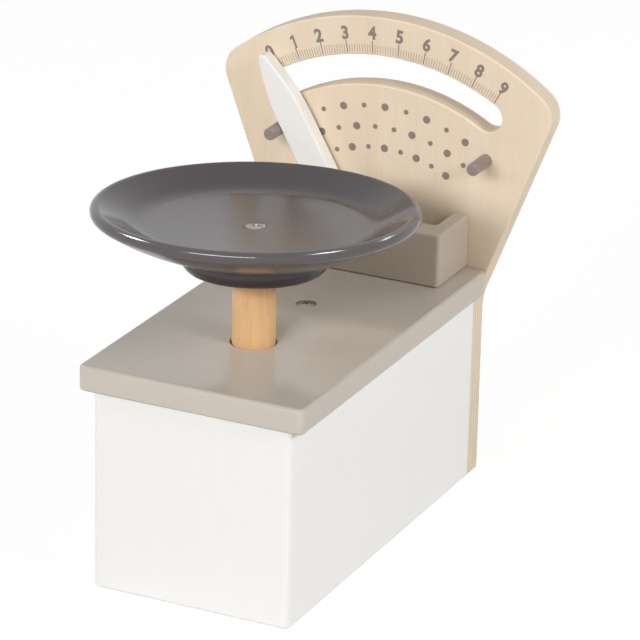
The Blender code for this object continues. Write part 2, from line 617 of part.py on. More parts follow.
def build_dish_and_post(frame):
    axis = axis_empty("post_axis", (0, POST_DISTANCE, PLATE_MIDDLE), POST_TILT, frame)
    base = DISH_BASE - PLATE_MIDDLE
    dish = add("weighing_dish", turned(dish_profile(), LARGE_SIDES), "dish_lacquer", axis, (0, 0, base))
    through = countersunk_hole(SCREW_HEAD_DIAMETER, SCREW_SHANK_DIAMETER, DISH_FLOOR_HEIGHT + CUT_OVERRUN,
                               SMALL_SIDES)
    cut(dish, placed(through, (0, 0, DISH_FLOOR_HEIGHT)))

    top = DISH_BASE - SEAT_GAP
    length = top - POST_FOOT_HEIGHT
    stem = rod(POST_DIAMETER, length, POST_EASE, ROUND_SIDES)
    post = add("post", stem, "beech", axis, (0, 0, POST_FOOT_HEIGHT - PLATE_MIDDLE))
    pin_length = LEVER_WIDTH - 2 * PIN_END
    pin_start = Vector((-pin_length / 2, 0, CROSS_PIN_HEIGHT - PLATE_MIDDLE))
    screw_bore = rod(SCREW_SHANK_DIAMETER + 2 * SEAT_GAP, DISH_SCREW_GRIP + CUT_OVERRUN)
    pin_bore = rod(CROSS_PIN_DIAMETER + 2 * SEAT_GAP, pin_length)
    cut(post, placed(screw_bore, (0, 0, length - DISH_SCREW_GRIP - SEAT_GAP)),
        placed(pin_bore, pin_start - post.location, X_AXIS))
    add("cross_pin", rod(CROSS_PIN_DIAMETER, pin_length, PIN_EASE), "steel", axis, pin_start, X_AXIS)

    screw = countersunk(SCREW_HEAD_DIAMETER, SCREW_SHANK_DIAMETER, DISH_FLOOR_HEIGHT + DISH_SCREW_GRIP,
                        SCREW_DOME, SMALL_SIDES)
    add("dish_screw", screw, "steel", axis, (0, 0, base + DISH_FLOOR_HEIGHT))


def least_self_gap(points, wire):
    """Smallest clear distance between neighbouring turns of a coil."""
    turn = SPRING_POINTS_PER_TURN
    pairs = ((a, b) for i, a in enumerate(points) for b in points[i + turn // 2:])
    return min((a - b).length for a, b in pairs) - wire


def on_post_axis(height):
    """Where the leaning post's axis passes a level."""
    rise = (height - PLATE_MIDDLE) / POST_DIRECTION.z
    return Vector((0, POST_DISTANCE, PLATE_MIDDLE)) + POST_DIRECTION * rise


def build_cup_and_spring(frame):
    bore = POST_RADIUS + GUIDE_PLAY
    outer = bore + CUP_WALL
    profile = [(0, 0), (outer, 0), (outer, CUP_HEIGHT), (bore, CUP_HEIGHT), (bore, CUP_FLOOR), (0, CUP_FLOOR)]
    base = BOTTOM_THICKNESS + SEAT_GAP
    centre = on_post_axis((POST_FOOT_HEIGHT - POST_TRAVEL + base + CUP_HEIGHT) / 2)
    add("guide_cup", turned(profile, ROUND_SIDES), "beech", frame, (centre.x, centre.y, base))

    low = base + CUP_FLOOR + SEAT_GAP + SPRING_WIRE / 2
    high = POST_FOOT_HEIGHT - POST_RADIUS * math.sin(POST_SLANT) - SEAT_GAP - SPRING_WIRE / 2
    radius = bore - SPRING_CLEARANCE - SPRING_WIRE / 2
    count = SPRING_TURNS * SPRING_POINTS_PER_TURN
    turns = [math.tau * k / SPRING_POINTS_PER_TURN for k in range(count + 1)]
    points = [Vector((radius * math.cos(t), radius * math.sin(t), low + (high - low) * k / count))
              for k, t in enumerate(turns)]
    print(f"spring: least gap to itself {least_self_gap(points, SPRING_WIRE) / MM:.2f} mm")
    curve = bpy.data.curves.new("return_spring", "CURVE")
    curve.dimensions = "3D"
    curve.bevel_depth = SPRING_WIRE / 2
    curve.bevel_resolution = 1
    curve.use_fill_caps = True
    spline = curve.splines.new("POLY")
    spline.points.add(count)
    for target, point in zip(spline.points, points):
        target.co = (*point, 1)
    spring = bpy.data.objects.new("return_spring", curve)
    bpy.context.scene.collection.objects.link(spring)
    curve.materials.append(finish("spring_steel"))
    spring.parent = frame
    spring.location = (centre.x, centre.y, 0)


def build_fulcrum(frame):
    low = LEVER_HEIGHT - FULCRUM_DEPTH / 2
    high = BOX_HEIGHT - SEAT_GAP
    front = FULCRUM_DISTANCE - FULCRUM_DEPTH / 2
    back = FULCRUM_DISTANCE + FULCRUM_DEPTH / 2
    round_end = FULCRUM_DEPTH / 2 - LEVER_EASE
    outline = rounded([(front, low, round_end), (back, low, round_end), (back, high, 0), (front, high, 0)])
    block = add("fulcrum_block", slab(outline, -FULCRUM_WIDTH / 2, FULCRUM_WIDTH / 2, "X"), "beech", frame)
    pin_start = (-LEVER_WIDTH / 2 + PIN_END, FULCRUM_DISTANCE, LEVER_HEIGHT)
    pin_length = LEVER_WIDTH - 2 * PIN_END
    pin_hole = rod(LEVER_PIN_DIAMETER + 2 * SEAT_GAP, pin_length)
    cut(block, fulcrum_screw_hole(), placed(pin_hole, pin_start, X_AXIS))
    screw = countersunk(SCREW_HEAD_DIAMETER, SCREW_SHANK_DIAMETER, FULCRUM_SCREW_LENGTH,
                        SCREW_DOME, SMALL_SIDES)
    add("fulcrum_screw", screw, "steel", frame, (0, FULCRUM_DISTANCE, PLATE_TOP))
    add("lever_pivot_pin", rod(LEVER_PIN_DIAMETER, pin_length, PIN_EASE), "steel", frame, pin_start, X_AXIS)


def build_lever(frame):
    """Drawn level, then turned to its rest angle: the fork up, the drive pin down."""
    axis = axis_empty("lever_axis", (0, FULCRUM_DISTANCE, LEVER_HEIGHT), (-LEVER_HALF_SWING, 0, 0), frame)
    half = LEVER_WIDTH / 2
    fork = POST_RADIUS + FORK_PLAY
    tip = -FRONT_ARM - TINE_REACH
    root = -FRONT_ARM + fork
    outline = rounded([
        (-half, tip, LEVER_CORNER), (-fork, tip, LEVER_CORNER), (-fork, root, LEVER_CORNER),
        (fork, root, LEVER_CORNER), (fork, tip, LEVER_CORNER), (half, tip, LEVER_CORNER),
        (half, RISER_BACK, LEVER_CORNER), (-half, RISER_BACK, LEVER_CORNER)])
    top = LEVER_THICKNESS / 2
    lever = add("lever", slab(outline, -top, top, ease=LEVER_EASE), "beech", axis)
    window_half = FULCRUM_WIDTH / 2 + SWING_ROOM / 2
    window_end = FULCRUM_DEPTH / 2 + SWING_ROOM
    window = box_outline(-window_half, -window_end, window_half, window_end)
    pivot = rod(LEVER_PIN_DIAMETER + 2 * PIVOT_PLAY, LEVER_WIDTH + 2 * CUT_OVERRUN)
    cut(lever, opening(window, -top, top))
    cut(lever, placed(pivot, (-half - CUT_OVERRUN, 0, 0), X_AXIS))

    left = -CRANK_REACH - RISER_HALF
    right = -CRANK_REACH + RISER_HALF
    crown = RISER_HALF - PIN_EASE
    outline = rounded([(left, top + SEAT_GAP, 0), (right, top + SEAT_GAP, 0),
                       (right, DRIVE_HEIGHT + RISER_HALF, crown), (left, DRIVE_HEIGHT + RISER_HALF, crown)])
    riser = add("lever_riser", slab(outline, RISER_FRONT, RISER_BACK, "Y"), "beech", axis)
    start = (-CRANK_REACH, RISER_FRONT + PIN_END, DRIVE_HEIGHT)
    pin_length = DRIVE_ARM + POINTER_THICKNESS / 2 - PIN_END - start[1]
    cut(riser, placed(rod(DRIVE_PIN_DIAMETER + 2 * SEAT_GAP, pin_length), start, Y_AXIS))
    add("drive_pin", rod(DRIVE_PIN_DIAMETER, pin_length - SEAT_GAP, PIN_EASE), "steel", axis,
        (start[0], start[1] + SEAT_GAP, start[2]), Y_AXIS)


def pointer_outline():
    """Pointer drawn upright about its pivot: a tapered blade, with a forked crank on its left."""
    half = POINTER_WIDTH / 2
    tip = Vector((0, POINTER_LENGTH - POINTER_TIP_RADIUS))
    taper = tip.y - POINTER_STRAIGHT
    # Each side bends into the tip on an arc that touches the straight side and the tip's round.
    bend = (half ** 2 + taper ** 2 - POINTER_TIP_RADIUS ** 2) / 2 / (half - POINTER_TIP_RADIUS)
    end_turn = math.atan2(taper, bend - half)
    right = arc((half - bend, POINTER_STRAIGHT), bend, 0, end_turn, end_turn / 8)
    point = arc(tip, POINTER_TIP_RADIUS, end_turn, math.pi - end_turn, 2 * FACET)
    blade = right + point[1:-1] + mirrored(right)
    inner = LEVER_CORNER
    end = rounded([
        (half, POINTER_STRAIGHT, 0), (-half, POINTER_STRAIGHT, 0), (-half, CRANK_HALF_WIDTH, inner),
        (-CRANK_END, CRANK_HALF_WIDTH, inner), (-CRANK_END, CRANK_SLOT_HALF, 0),
        (-CRANK_SLOT_ROOT, CRANK_SLOT_HALF, inner), (-CRANK_SLOT_ROOT, -CRANK_SLOT_HALF, inner),
        (-CRANK_END, -CRANK_SLOT_HALF, 0), (-CRANK_END, -CRANK_HALF_WIDTH, inner),
        (half, -CRANK_HALF_WIDTH, half - POINTER_EASE)])
    return blade + end[2:]


def build_pointer(frame):
    middle = POINTER_FRONT + POINTER_THICKNESS / 2
    axis = axis_empty("pointer_axis", (0, middle, DIAL_HEIGHT), (0, -POINTER_HALF_SWING, 0), frame)
    half = POINTER_THICKNESS / 2
    pointer = add("pointer", slab(pointer_outline(), -half, half, "Y", POINTER_EASE), "white_paint", axis)
    bore = rod(PIVOT_PIN_DIAMETER + 2 * PIVOT_PLAY, POINTER_THICKNESS + 2 * CUT_OVERRUN)
    cut(pointer, placed(bore, (0, -half - CUT_OVERRUN, 0), Y_AXIS))

    pin = PIVOT_PIN_DIAMETER / 2
    head = PIVOT_HEAD_DIAMETER / 2
    length = PIVOT_HEAD_HEIGHT + PIVOT_PLAY + POINTER_THICKNESS + POINTER_STANDOFF + PIVOT_PIN_DEPTH
    under_head = PIVOT_HEAD_HEIGHT
    profile = [(0, 0), (head - PIN_EASE, 0), (head, PIN_EASE), (head, under_head), (pin, under_head),
               (pin, length), (0, length)]
    add("pointer_pivot_pin", turned(profile, SMALL_SIDES), "steel", frame,
        (0, POINTER_FRONT - PIVOT_PLAY - PIVOT_HEAD_HEIGHT, DIAL_HEIGHT), Y_AXIS)
    inner = pin + PIVOT_PLAY
    outer = WASHER_DIAMETER / 2
    thickness = POINTER_STANDOFF - 2 * SEAT_GAP
    ring = [(inner, 0), (outer, 0), (outer, thickness), (inner, thickness)]
    add("pointer_washer", turned(ring, SMALL_SIDES, closed=True), "steel", frame,
        (0, BOX_DEPTH - SEAT_GAP - thickness, DIAL_HEIGHT), Y_AXIS)


def main():
    for old in list(bpy.data.objects):
        bpy.data.objects.remove(old, do_unlink=True)
    frame = axis_empty("scale_frame", (0, -FRAME_MIDDLE, 0))
    build_box(frame)
    build_top_plate(frame)
    build_backboard(frame)
    build_pointer_housing(frame)
    build_fulcrum(frame)
    build_cup_and_spring(frame)
    build_dish_and_post(frame)
    build_lever(frame)
    build_pointer(frame)


main()
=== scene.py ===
import json
import math

import bmesh
import bpy
from mathutils import Matrix, Vector


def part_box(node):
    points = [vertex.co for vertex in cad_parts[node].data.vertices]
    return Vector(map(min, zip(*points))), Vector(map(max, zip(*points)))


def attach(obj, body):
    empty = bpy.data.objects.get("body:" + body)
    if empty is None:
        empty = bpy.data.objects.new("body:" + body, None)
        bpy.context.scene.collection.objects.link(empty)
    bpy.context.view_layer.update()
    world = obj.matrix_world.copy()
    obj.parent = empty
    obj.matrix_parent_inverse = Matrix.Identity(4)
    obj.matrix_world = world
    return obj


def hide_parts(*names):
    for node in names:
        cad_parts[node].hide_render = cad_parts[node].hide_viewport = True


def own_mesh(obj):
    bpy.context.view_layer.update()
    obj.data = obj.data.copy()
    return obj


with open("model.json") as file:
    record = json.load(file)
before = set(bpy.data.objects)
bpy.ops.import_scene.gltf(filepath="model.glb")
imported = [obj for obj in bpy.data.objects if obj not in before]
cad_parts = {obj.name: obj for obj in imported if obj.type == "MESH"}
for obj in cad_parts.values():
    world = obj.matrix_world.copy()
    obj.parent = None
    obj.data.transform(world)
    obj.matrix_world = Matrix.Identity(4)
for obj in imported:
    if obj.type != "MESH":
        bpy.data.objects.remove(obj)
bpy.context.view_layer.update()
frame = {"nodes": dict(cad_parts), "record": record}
scene = bpy.context.scene
mm = 0.001
deg = math.radians(1)
print("frame loaded:", len(frame["nodes"]), "nodes")

# Places read from the frame
boardLow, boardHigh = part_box("backboard")
plateLow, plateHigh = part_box("top_plate")
jointRows = {row["name"]: row for row in frame["record"]["behaviour"]["joints"]}
slidePlace = Vector(jointRows["post_slide"]["pos_m"])
slideUp = -Vector(jointRows["post_slide"]["axis"]).normalized()
slideTurn = Vector((0, 0, 1)).rotation_difference(slideUp).to_matrix().to_4x4()
pointerPlace = Vector(jointRows["pointer_hinge"]["pos_m"])
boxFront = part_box("front_panel")[0].y


def srgb(red, green, blue):
    def linear(channel):
        value = channel / 255
        return value / 12.92 if value <= 0.04045 else ((value + 0.055) / 1.055) ** 2.4
    return (linear(red), linear(green), linear(blue), 1)


# Materials: shared node groups first
def newGroup(name, inputs, outputs):
    group = bpy.data.node_groups.new(name, "ShaderNodeTree")
    for label, kind, value in inputs:
        socket = group.interface.new_socket(label, in_out="INPUT", socket_type=kind)
        if value is not None:
            socket.default_value = value
    for label, kind in outputs:
        group.interface.new_socket(label, in_out="OUTPUT", socket_type=kind)
    return group, group.nodes.new("NodeGroupInput"), group.nodes.new("NodeGroupOutput")


def fill(tree, node, sockets):
    # links or sets a node's inputs, given by name or as i and a number
    for key, value in sockets.items():
        target = node.inputs[int(key[1:])] if key[0] == "i" and key[1:].isdigit() else node.inputs[key]
        if isinstance(value, bpy.types.NodeSocket):
            tree.links.new(value, target)
        else:
            target.default_value = value


def addNode(tree, kind, settings=None, **sockets):
    node = tree.nodes.new(kind)
    for key, value in (settings or {}).items():
        setattr(node, key, value)
    fill(tree, node, sockets)
    return node


def maths(tree, operation, first, second=0.5, third=0.5):
    node = addNode(tree, "ShaderNodeMath", {"operation": operation}, i0=first, i1=second, i2=third)
    return node.outputs[0]


def stretched(tree, vector, scale, turn=(0, 0, 0)):
    return addNode(tree, "ShaderNodeMapping", Vector=vector, Rotation=turn, Scale=scale).outputs[0]


def noise(tree, vector, scale, detail=3.0, roughness=0.5):
    node = addNode(tree, "ShaderNodeTexNoise", Vector=vector, Scale=scale, Detail=detail,
                   Roughness=roughness)
    return node.outputs[0]


def ranged(tree, value, low, high, newLow=0.0, newHigh=1.0):
    node = addNode(tree, "ShaderNodeMapRange", i0=value, i1=low, i2=high, i3=newLow, i4=newHigh)
    return node.outputs[0]


def blended(tree, share, first, second, mode="MIX"):
    node = addNode(tree, "ShaderNodeMix", {"data_type": "RGBA", "blend_type": mode}, i0=share, i6=first,
                   i7=second)
    return node.outputs[2]


def swayed(tree, pattern, amount, base):
    # base plus the pattern's swing about its middle
    return maths(tree, "MULTIPLY_ADD", maths(tree, "SUBTRACT", pattern), amount, base)


def toned(tree, tone, colour):
    return addNode(tree, "ShaderNodeHueSaturation", Value=tone, Color=colour).outputs[0]


def bumped(tree, height, strength, depth):
    node = addNode(tree, "ShaderNodeBump", Strength=strength, Distance=depth, Height=height)
    return node.outputs[0]


def makePaintSkin():
    # brushed paint over wood: a slow drift in tone, faint fibres showing through, and a fine skin
    group, start, end = newGroup("paintSkin", [
        ("Vector", "NodeSocketVector", None), ("Colour", "NodeSocketColor", (0.8, 0.8, 0.8, 1)),
        ("Drift", "NodeSocketFloat", 0.04), ("Roughness", "NodeSocketFloat", 0.4),
    ], [("Colour", "NodeSocketColor"), ("Roughness", "NodeSocketFloat"), ("Height", "NodeSocketFloat")])
    place = start.outputs["Vector"]
    drift = noise(group, place, 14.0, 3.0)
    fibre = noise(group, stretched(group, place, (900, 900, 26)), 1.0, 3.0, 0.6)
    skin = noise(group, place, 1300.0, 2.0)
    specks = ranged(group, noise(group, place, 620.0, 1.0), 0.74, 0.80)
    tone = swayed(group, fibre, 0.03, swayed(group, drift, start.outputs["Drift"], 1.0))
    tone = maths(group, "MULTIPLY_ADD", specks, -0.02, tone)
    colour = toned(group, tone, start.outputs["Colour"])
    rough = swayed(group, drift, 0.08, swayed(group, skin, 0.10, start.outputs["Roughness"]))
    height = maths(group, "MULTIPLY_ADD", fibre, 0.6, maths(group, "MULTIPLY", skin, 0.4))
    fill(group, end, {"Colour": colour, "Roughness": rough, "Height": height})
    return group


def makeWoodFibre():
    # plain-sawn pale wood with its fibres along the vector's Z: tone bands, pores and short flecks
    group, start, end = newGroup("woodFibre", [
        ("Vector", "NodeSocketVector", None), ("Pale", "NodeSocketColor", (0.8, 0.6, 0.4, 1)),
        ("Dark", "NodeSocketColor", (0.6, 0.4, 0.2, 1)), ("Bands", "NodeSocketFloat", 160.0),
        ("Fleck", "NodeSocketFloat", 0.3), ("Roughness", "NodeSocketFloat", 0.45),
    ], [("Colour", "NodeSocketColor"), ("Roughness", "NodeSocketFloat"), ("Height", "NodeSocketFloat")])
    place = start.outputs["Vector"]
    sway = addNode(group, "ShaderNodeTexNoise", Vector=stretched(group, place, (22, 22, 6)), Scale=1.0,
                   Detail=2.0)
    offset = addNode(group, "ShaderNodeVectorMath", {"operation": "MULTIPLY_ADD"}, i0=sway.outputs[1],
                     i1=(0.012, 0.012, 0.0), i2=place)
    wide = noise(group, stretched(group, offset.outputs[0], (1, 1, 0.035)), start.outputs["Bands"], 3.0, 0.55)
    fine = noise(group, stretched(group, offset.outputs[0], (1500, 1500, 34)), 1.0, 3.0, 0.6)
    pores = ranged(group, noise(group, stretched(group, place, (2600, 2600, 150)), 1.0, 1.0), 0.62, 0.75)
    flecks = ranged(group, noise(group, stretched(group, place, (1500, 800, 260)), 1.0, 1.0), 0.66, 0.76)
    cloud = noise(group, place, 16.0, 2.0)
    share = maths(group, "MULTIPLY_ADD", fine, 0.35, maths(group, "MULTIPLY", wide, 0.65))
    share = ranged(group, share, 0.32, 0.70)
    colour = blended(group, share, start.outputs["Pale"], start.outputs["Dark"])
    strength = maths(group, "MULTIPLY", flecks, start.outputs["Fleck"])
    colour = blended(group, strength, colour, start.outputs["Dark"], "MULTIPLY")
    colour = blended(group, maths(group, "MULTIPLY", pores, 0.16), colour, start.outputs["Dark"], "MULTIPLY")
    colour = toned(group, swayed(group, cloud, 0.10, 1.0), colour)
    rough = swayed(group, fine, 0.14, start.outputs["Roughness"])
    height = maths(group, "MULTIPLY_ADD", pores, -0.6, fine)
    fill(group, end, {"Colour": colour, "Roughness": rough, "Height": height})
    return group


paintSkin = makePaintSkin()
woodFibre = makeWoodFibre()
finishes = {}


def newMaterial(name):
    finishes[name] = bpy.data.materials.new(name)
    finishes[name].use_nodes = True
    tree = finishes[name].node_tree
    return tree, tree.nodes["Principled BSDF"], addNode(tree, "ShaderNodeTexCoord").outputs["Object"]


def joinSkin(tree, shader, skin, settings, depth):
    colour, rough, height = skin.outputs
    fill(tree, shader, {"Base Color": colour, "Roughness": rough, "Specular IOR Level": settings["specular"],
                        "Normal": bumped(tree, height, settings["bump"], depth)})


def makePaint(name, settings):
    tree, shader, place = newMaterial(name)
    skin = addNode(tree, "ShaderNodeGroup", {"node_tree": paintSkin},
                   Vector=stretched(tree, place, (1, 1, 1), settings.get("turn", (0, 0, 0))),
                   Colour=srgb(*settings["colour"]), Drift=settings["drift"], Roughness=settings["roughness"])
    joinSkin(tree, shader, skin, settings, 0.05 * mm)


def makeWood(name, settings):
    tree, shader, place = newMaterial(name)
    skin = addNode(tree, "ShaderNodeGroup", {"node_tree": woodFibre},
                   Vector=stretched(tree, place, (1, 1, 1), settings.get("turn", (0, 0, 0))),
                   Pale=srgb(*settings["pale"]), Dark=srgb(*settings["dark"]), Bands=settings["bands"],
                   Fleck=settings["fleck"], Roughness=settings["roughness"])
    joinSkin(tree, shader, skin, settings, 0.06 * mm)


alongY = (90 * deg, 0, 0)  # fibres run from front to back instead of upright
paintLook = {
    "whitePaint": {"colour": (247, 246, 244), "drift": 0.03, "roughness": 0.46, "bump": 0.10, "specular": 0.35},
    "pointerPaint": {"colour": (245, 244, 241), "drift": 0.03, "roughness": 0.42, "bump": 0.10, "specular": 0.4},
    "taupePaint": {"colour": (198, 189, 178), "drift": 0.04, "roughness": 0.12, "bump": 0.02, "specular": 0.31,
                   "turn": alongY},
    # painted light: the plate's sides are painted lighter than its top
    "taupeEdge": {"colour": (207, 199, 189), "drift": 0.05, "roughness": 0.5, "bump": 0.06, "specular": 0.04,
                  "turn": alongY},
    # painted shade: the block's copies are darker than the plate's, for the dish's shadow on the block, and its sides
    # a little darker and warmer still
    "blockPaint": {"colour": (191, 181, 168), "drift": 0.04, "roughness": 0.16, "bump": 0.02, "specular": 0.31,
                   "turn": alongY},
    "blockEdge": {"colour": (190, 178, 164), "drift": 0.05, "roughness": 0.5, "bump": 0.06, "specular": 0.04,
                  "turn": alongY},
    "pegPaint": {"colour": (146, 133, 127), "drift": 0.08, "roughness": 0.42, "bump": 0.12, "specular": 0.4,
                 "turn": alongY},
    "dialInk": {"colour": (146, 130, 122), "drift": 0.22, "roughness": 0.55, "bump": 0.10, "specular": 0.3},
}
woodLook = {
    "beechWood": {"pale": (234, 194, 146), "dark": (224, 176, 124), "bands": 210.0, "fleck": 0.3,
                  "roughness": 0.40, "bump": 0.12, "specular": 0.45},
    "leverWood": {"pale": (228, 190, 144), "dark": (208, 162, 112), "bands": 190.0, "fleck": 0.35,
                  "roughness": 0.52, "bump": 0.15, "specular": 0.35, "turn": alongY},
}
plyLook = {"pale": (240, 224, 201), "dark": (235, 215, 189), "edgePale": (226, 209, 186),
           "edgeDark": (220, 202, 178), "glue": (196, 174, 146), "layers": 9, "roughness": 0.46,
           "edgeRoughness": 0.58, "bands": 95.0, "edgeBands": 130.0, "fleck": 0.22, "edgeFleck": 0.3,
           "bump": 0.14, "specular": 0.4}


def makePlywood():
    # face veneers run upright; the core's layers alternate and show on every cut edge
    tree, shader, place = newMaterial("plywood")
    look = plyLook
    face = addNode(tree, "ShaderNodeGroup", {"node_tree": woodFibre}, Vector=place, Pale=srgb(*look["pale"]),
                   Dark=srgb(*look["dark"]), Bands=look["bands"], Fleck=look["fleck"],
                   Roughness=look["roughness"])
    core = addNode(tree, "ShaderNodeGroup", {"node_tree": woodFibre},
                   Vector=stretched(tree, place, (1, 1, 1), (0, 90 * deg, 0)), Pale=srgb(*look["edgePale"]),
                   Dark=srgb(*look["edgeDark"]), Bands=look["edgeBands"], Fleck=look["edgeFleck"],
                   Roughness=look["edgeRoughness"])
    depth = addNode(tree, "ShaderNodeSeparateXYZ", i0=place).outputs[1]
    thickness = boardHigh.y - boardLow.y
    level = maths(tree, "DIVIDE", maths(tree, "SUBTRACT", depth, boardLow.y), thickness)
    wobble = noise(tree, place, 60.0, 2.0)
    stack = swayed(tree, wobble, 0.16, maths(tree, "MULTIPLY", level, look["layers"]))
    phase = maths(tree, "FRACT", stack)
    parity = ranged(tree, maths(tree, "PINGPONG", stack, 1.0), 0.35, 0.65)
    seam = maths(tree, "MINIMUM", phase, maths(tree, "SUBTRACT", 1.0, phase))
    glue = ranged(tree, seam, 0.03, 0.12, 1.0, 0.0)
    inside = maths(tree, "MINIMUM", level, maths(tree, "SUBTRACT", 1.0, level))
    edge = ranged(tree, inside, 0.028, 0.045)
    layers = blended(tree, parity, core.outputs["Colour"], face.outputs["Colour"])
    layers = blended(tree, maths(tree, "MULTIPLY", glue, 0.22), layers, srgb(*look["glue"]))
    colour = blended(tree, edge, face.outputs["Colour"], layers)
    rough = maths(tree, "MULTIPLY_ADD", edge, 0.12, face.outputs["Roughness"])
    height = maths(tree, "MULTIPLY_ADD", maths(tree, "MULTIPLY", glue, edge), -0.8, face.outputs["Height"])
    fill(tree, shader, {"Base Color": colour, "Roughness": rough, "Specular IOR Level": look["specular"],
                        "Normal": bumped(tree, height, look["bump"], 0.06 * mm)})


lacquerLook = {
    # the rim, underside and foot copies hold painted light and shade: rim lighter, underside lighter and warmer, foot
    # darker
    "dishLacquer": {"colour": (72, 66, 69), "roughness": 0.115, "specular": 0.42},
    "dishRim": {"colour": (87, 81, 82), "roughness": 0.105, "specular": 0.5},
    "dishUnderside": {"colour": (84, 77, 76), "roughness": 0.18, "specular": 0.13},
    "dishFoot": {"colour": (66, 60, 59), "roughness": 0.16, "specular": 0.2},
}


def makeLacquer(name, settings):
    # thick sprayed lacquer: nearly even colour, a slow orange-peel swell and a little dust
    tree, shader, place = newMaterial(name)
    cloud = noise(tree, place, 20.0, 3.0)
    dust = ranged(tree, noise(tree, place, 1500.0, 1.0), 0.73, 0.80)
    tone = maths(tree, "MULTIPLY_ADD", dust, 0.10, swayed(tree, cloud, 0.10, 1.0))
    colour = toned(tree, tone, srgb(*settings["colour"]))
    rough = maths(tree, "MULTIPLY_ADD", dust, 0.15, settings["roughness"])
    rough = maths(tree, "MULTIPLY_ADD", cloud, 0.06, rough)
    swell = noise(tree, place, 130.0, 2.0)
    fill(tree, shader, {"Base Color": colour, "Roughness": rough, "Specular IOR Level": settings["specular"],
                        "Normal": bumped(tree, swell, 0.05, 0.12 * mm)})


steelLook = {
    "zincSteel": {"colour": (196, 194, 190), "dull": (160, 157, 152), "roughness": 0.16, "scratch": (900, 900, 900),
                  "bump": 0.1, "depth": 0.02 * mm},
    "headSteel": {"colour": (176, 170, 162), "dull": (138, 131, 124), "roughness": 0.22, "scratch": (260, 260, 260),
                  "bump": 0.9, "depth": 0.25 * mm},
    "springSteel": {"colour": (158, 158, 160), "dull": (120, 120, 124), "roughness": 0.30, "scratch": (500, 500, 2200),
                    "bump": 0.1, "depth": 0.02 * mm},
}


def makeSteel(name, settings):
    tree, shader, place = newMaterial(name)
    bloom = noise(tree, place, 420.0, 3.0)
    grain = noise(tree, stretched(tree, place, settings["scratch"]), 2.0, 2.0)
    share = ranged(tree, bloom, 0.35, 0.75)
    colour = blended(tree, share, srgb(*settings["colour"]), srgb(*settings["dull"]))
    rough = maths(tree, "MULTIPLY_ADD", bloom, 0.16, settings["roughness"] - 0.08)
    fill(tree, shader, {"Base Color": colour, "Roughness": rough, "Metallic": 1.0,
                        "Normal": bumped(tree, grain, settings["bump"], settings["depth"])})


makePlywood()
for looks, make in ((paintLook, makePaint), (woodLook, makeWood), (lacquerLook, makeLacquer), (steelLook, makeSteel)):
    for name, settings in looks.items():
        make(name, settings)
print("materials made:", len(bpy.data.materials))


# Helpers for new pieces
def placed(name, data):
    thing = bpy.data.objects.new(name, data)
    scene.collection.objects.link(thing)
    return thing


def newPiece(name, bm, finishNames, body, slotName, *replaced, sharp=40):
    mesh = bpy.data.meshes.new(name)
    bm.to_mesh(mesh)
    bm.free()
    mesh.shade_smooth()
    mesh.set_sharp_from_angle(angle=sharp * deg)
    for finishName in finishNames.split():
        mesh.materials.append(finishes[finishName])
    piece = placed(name, mesh)
    even = piece.modifiers.new("evenNormals", "WEIGHTED_NORMAL")
    even.keep_sharp = True
    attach(piece, body)
    if replaced:
        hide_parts(*replaced)
    return piece


def carve(bm, *cutters):
    # takes the cutters, each a closed bmesh, out of a closed bmesh
    for cutter in cutters:
        pair = []
        for label, shape in (("carved", bm), ("carver", cutter)):
            mesh = bpy.data.meshes.new(label)
            shape.to_mesh(mesh)
            pair.append(placed(label, mesh))
        cutter.free()
        step = pair[0].modifiers.new("carve", "BOOLEAN")
        step.object = pair[1]
        step.operation = "DIFFERENCE"
        step.solver = "EXACT"
        done = pair[0].evaluated_get(bpy.context.evaluated_depsgraph_get()).to_mesh()
        bm.clear()
        bm.from_mesh(done)
        for holder in pair:
            mesh = holder.data
            bpy.data.objects.remove(holder)
            bpy.data.meshes.remove(mesh)


def vertsOf(geom):
    return [item for item in geom if isinstance(item, bmesh.types.BMVert)]


def outward(bm):
    bmesh.ops.recalc_face_normals(bm, faces=bm.faces)


def roundOff(bm, geom, radius, steps, affect="VERTICES"):
    bmesh.ops.bevel(bm, geom=geom, offset=radius, segments=steps, profile=0.5, affect=affect, material=-1)


def arcFrom(bm, vert, centre, angle, axis, steps):
    # spins one vertex about a centre and gives the last vertex of the arc
    turned = bmesh.ops.spin(bm, geom=[vert], cent=centre, axis=axis, dvec=(0, 0, 0), angle=angle, steps=steps,
                            use_duplicate=False)
    return vertsOf(turned["geom_last"])[0]


def lineTo(bm, vert, place):
    end = bm.verts.new(place)
    bm.edges.new((vert, end))
    return end


def easeFaces(bm, faces, ease, steps=4):
    # rounds the rim of a flat region by stepping it in along a quarter circle
    before = (0.0, 0.0)
    for k in range(1, steps + 1):
        turn = math.pi / 2 * k / steps
        here = (ease * (1 - math.cos(turn)), ease * math.sin(turn))
        bmesh.ops.inset_region(bm, faces=faces, thickness=here[0] - before[0], depth=here[1] - before[1],
                               use_boundary=True, use_even_offset=True)
        before = here


def thicken(bm, direction, easeNear, easeFar=None):
    # pulls a flat face out into a board along a direction and rounds its two rims
    easeFar = easeNear if easeFar is None else easeFar
    along = direction.normalized()
    bmesh.ops.translate(bm, verts=bm.verts, vec=along * easeNear)
    pulled = bmesh.ops.extrude_face_region(bm, geom=bm.faces[:])
    bmesh.ops.translate(bm, verts=vertsOf(pulled["geom"]), vec=direction - along * (easeNear + easeFar))
    outward(bm)
    bm.normal_update()
    for sign, ease in ((-1, easeNear), (1, easeFar)):
        if ease:
            easeFaces(bm, [f for f in bm.faces if f.normal.dot(along) * sign > 0.99], ease)


def polygon(points, corners, height, steps=5):
    # flat face through (x, y) points at a height; each listed corner is rounded
    bm = bmesh.new()
    verts = [bm.verts.new((x, y, height)) for x, y in points]
    bm.faces.new(verts)
    bm.normal_update()
    for radius in sorted(set(corners) - {0}):
        roundOff(bm, [v for v, r in zip(verts, corners) if r == radius], radius, steps)
    return bm


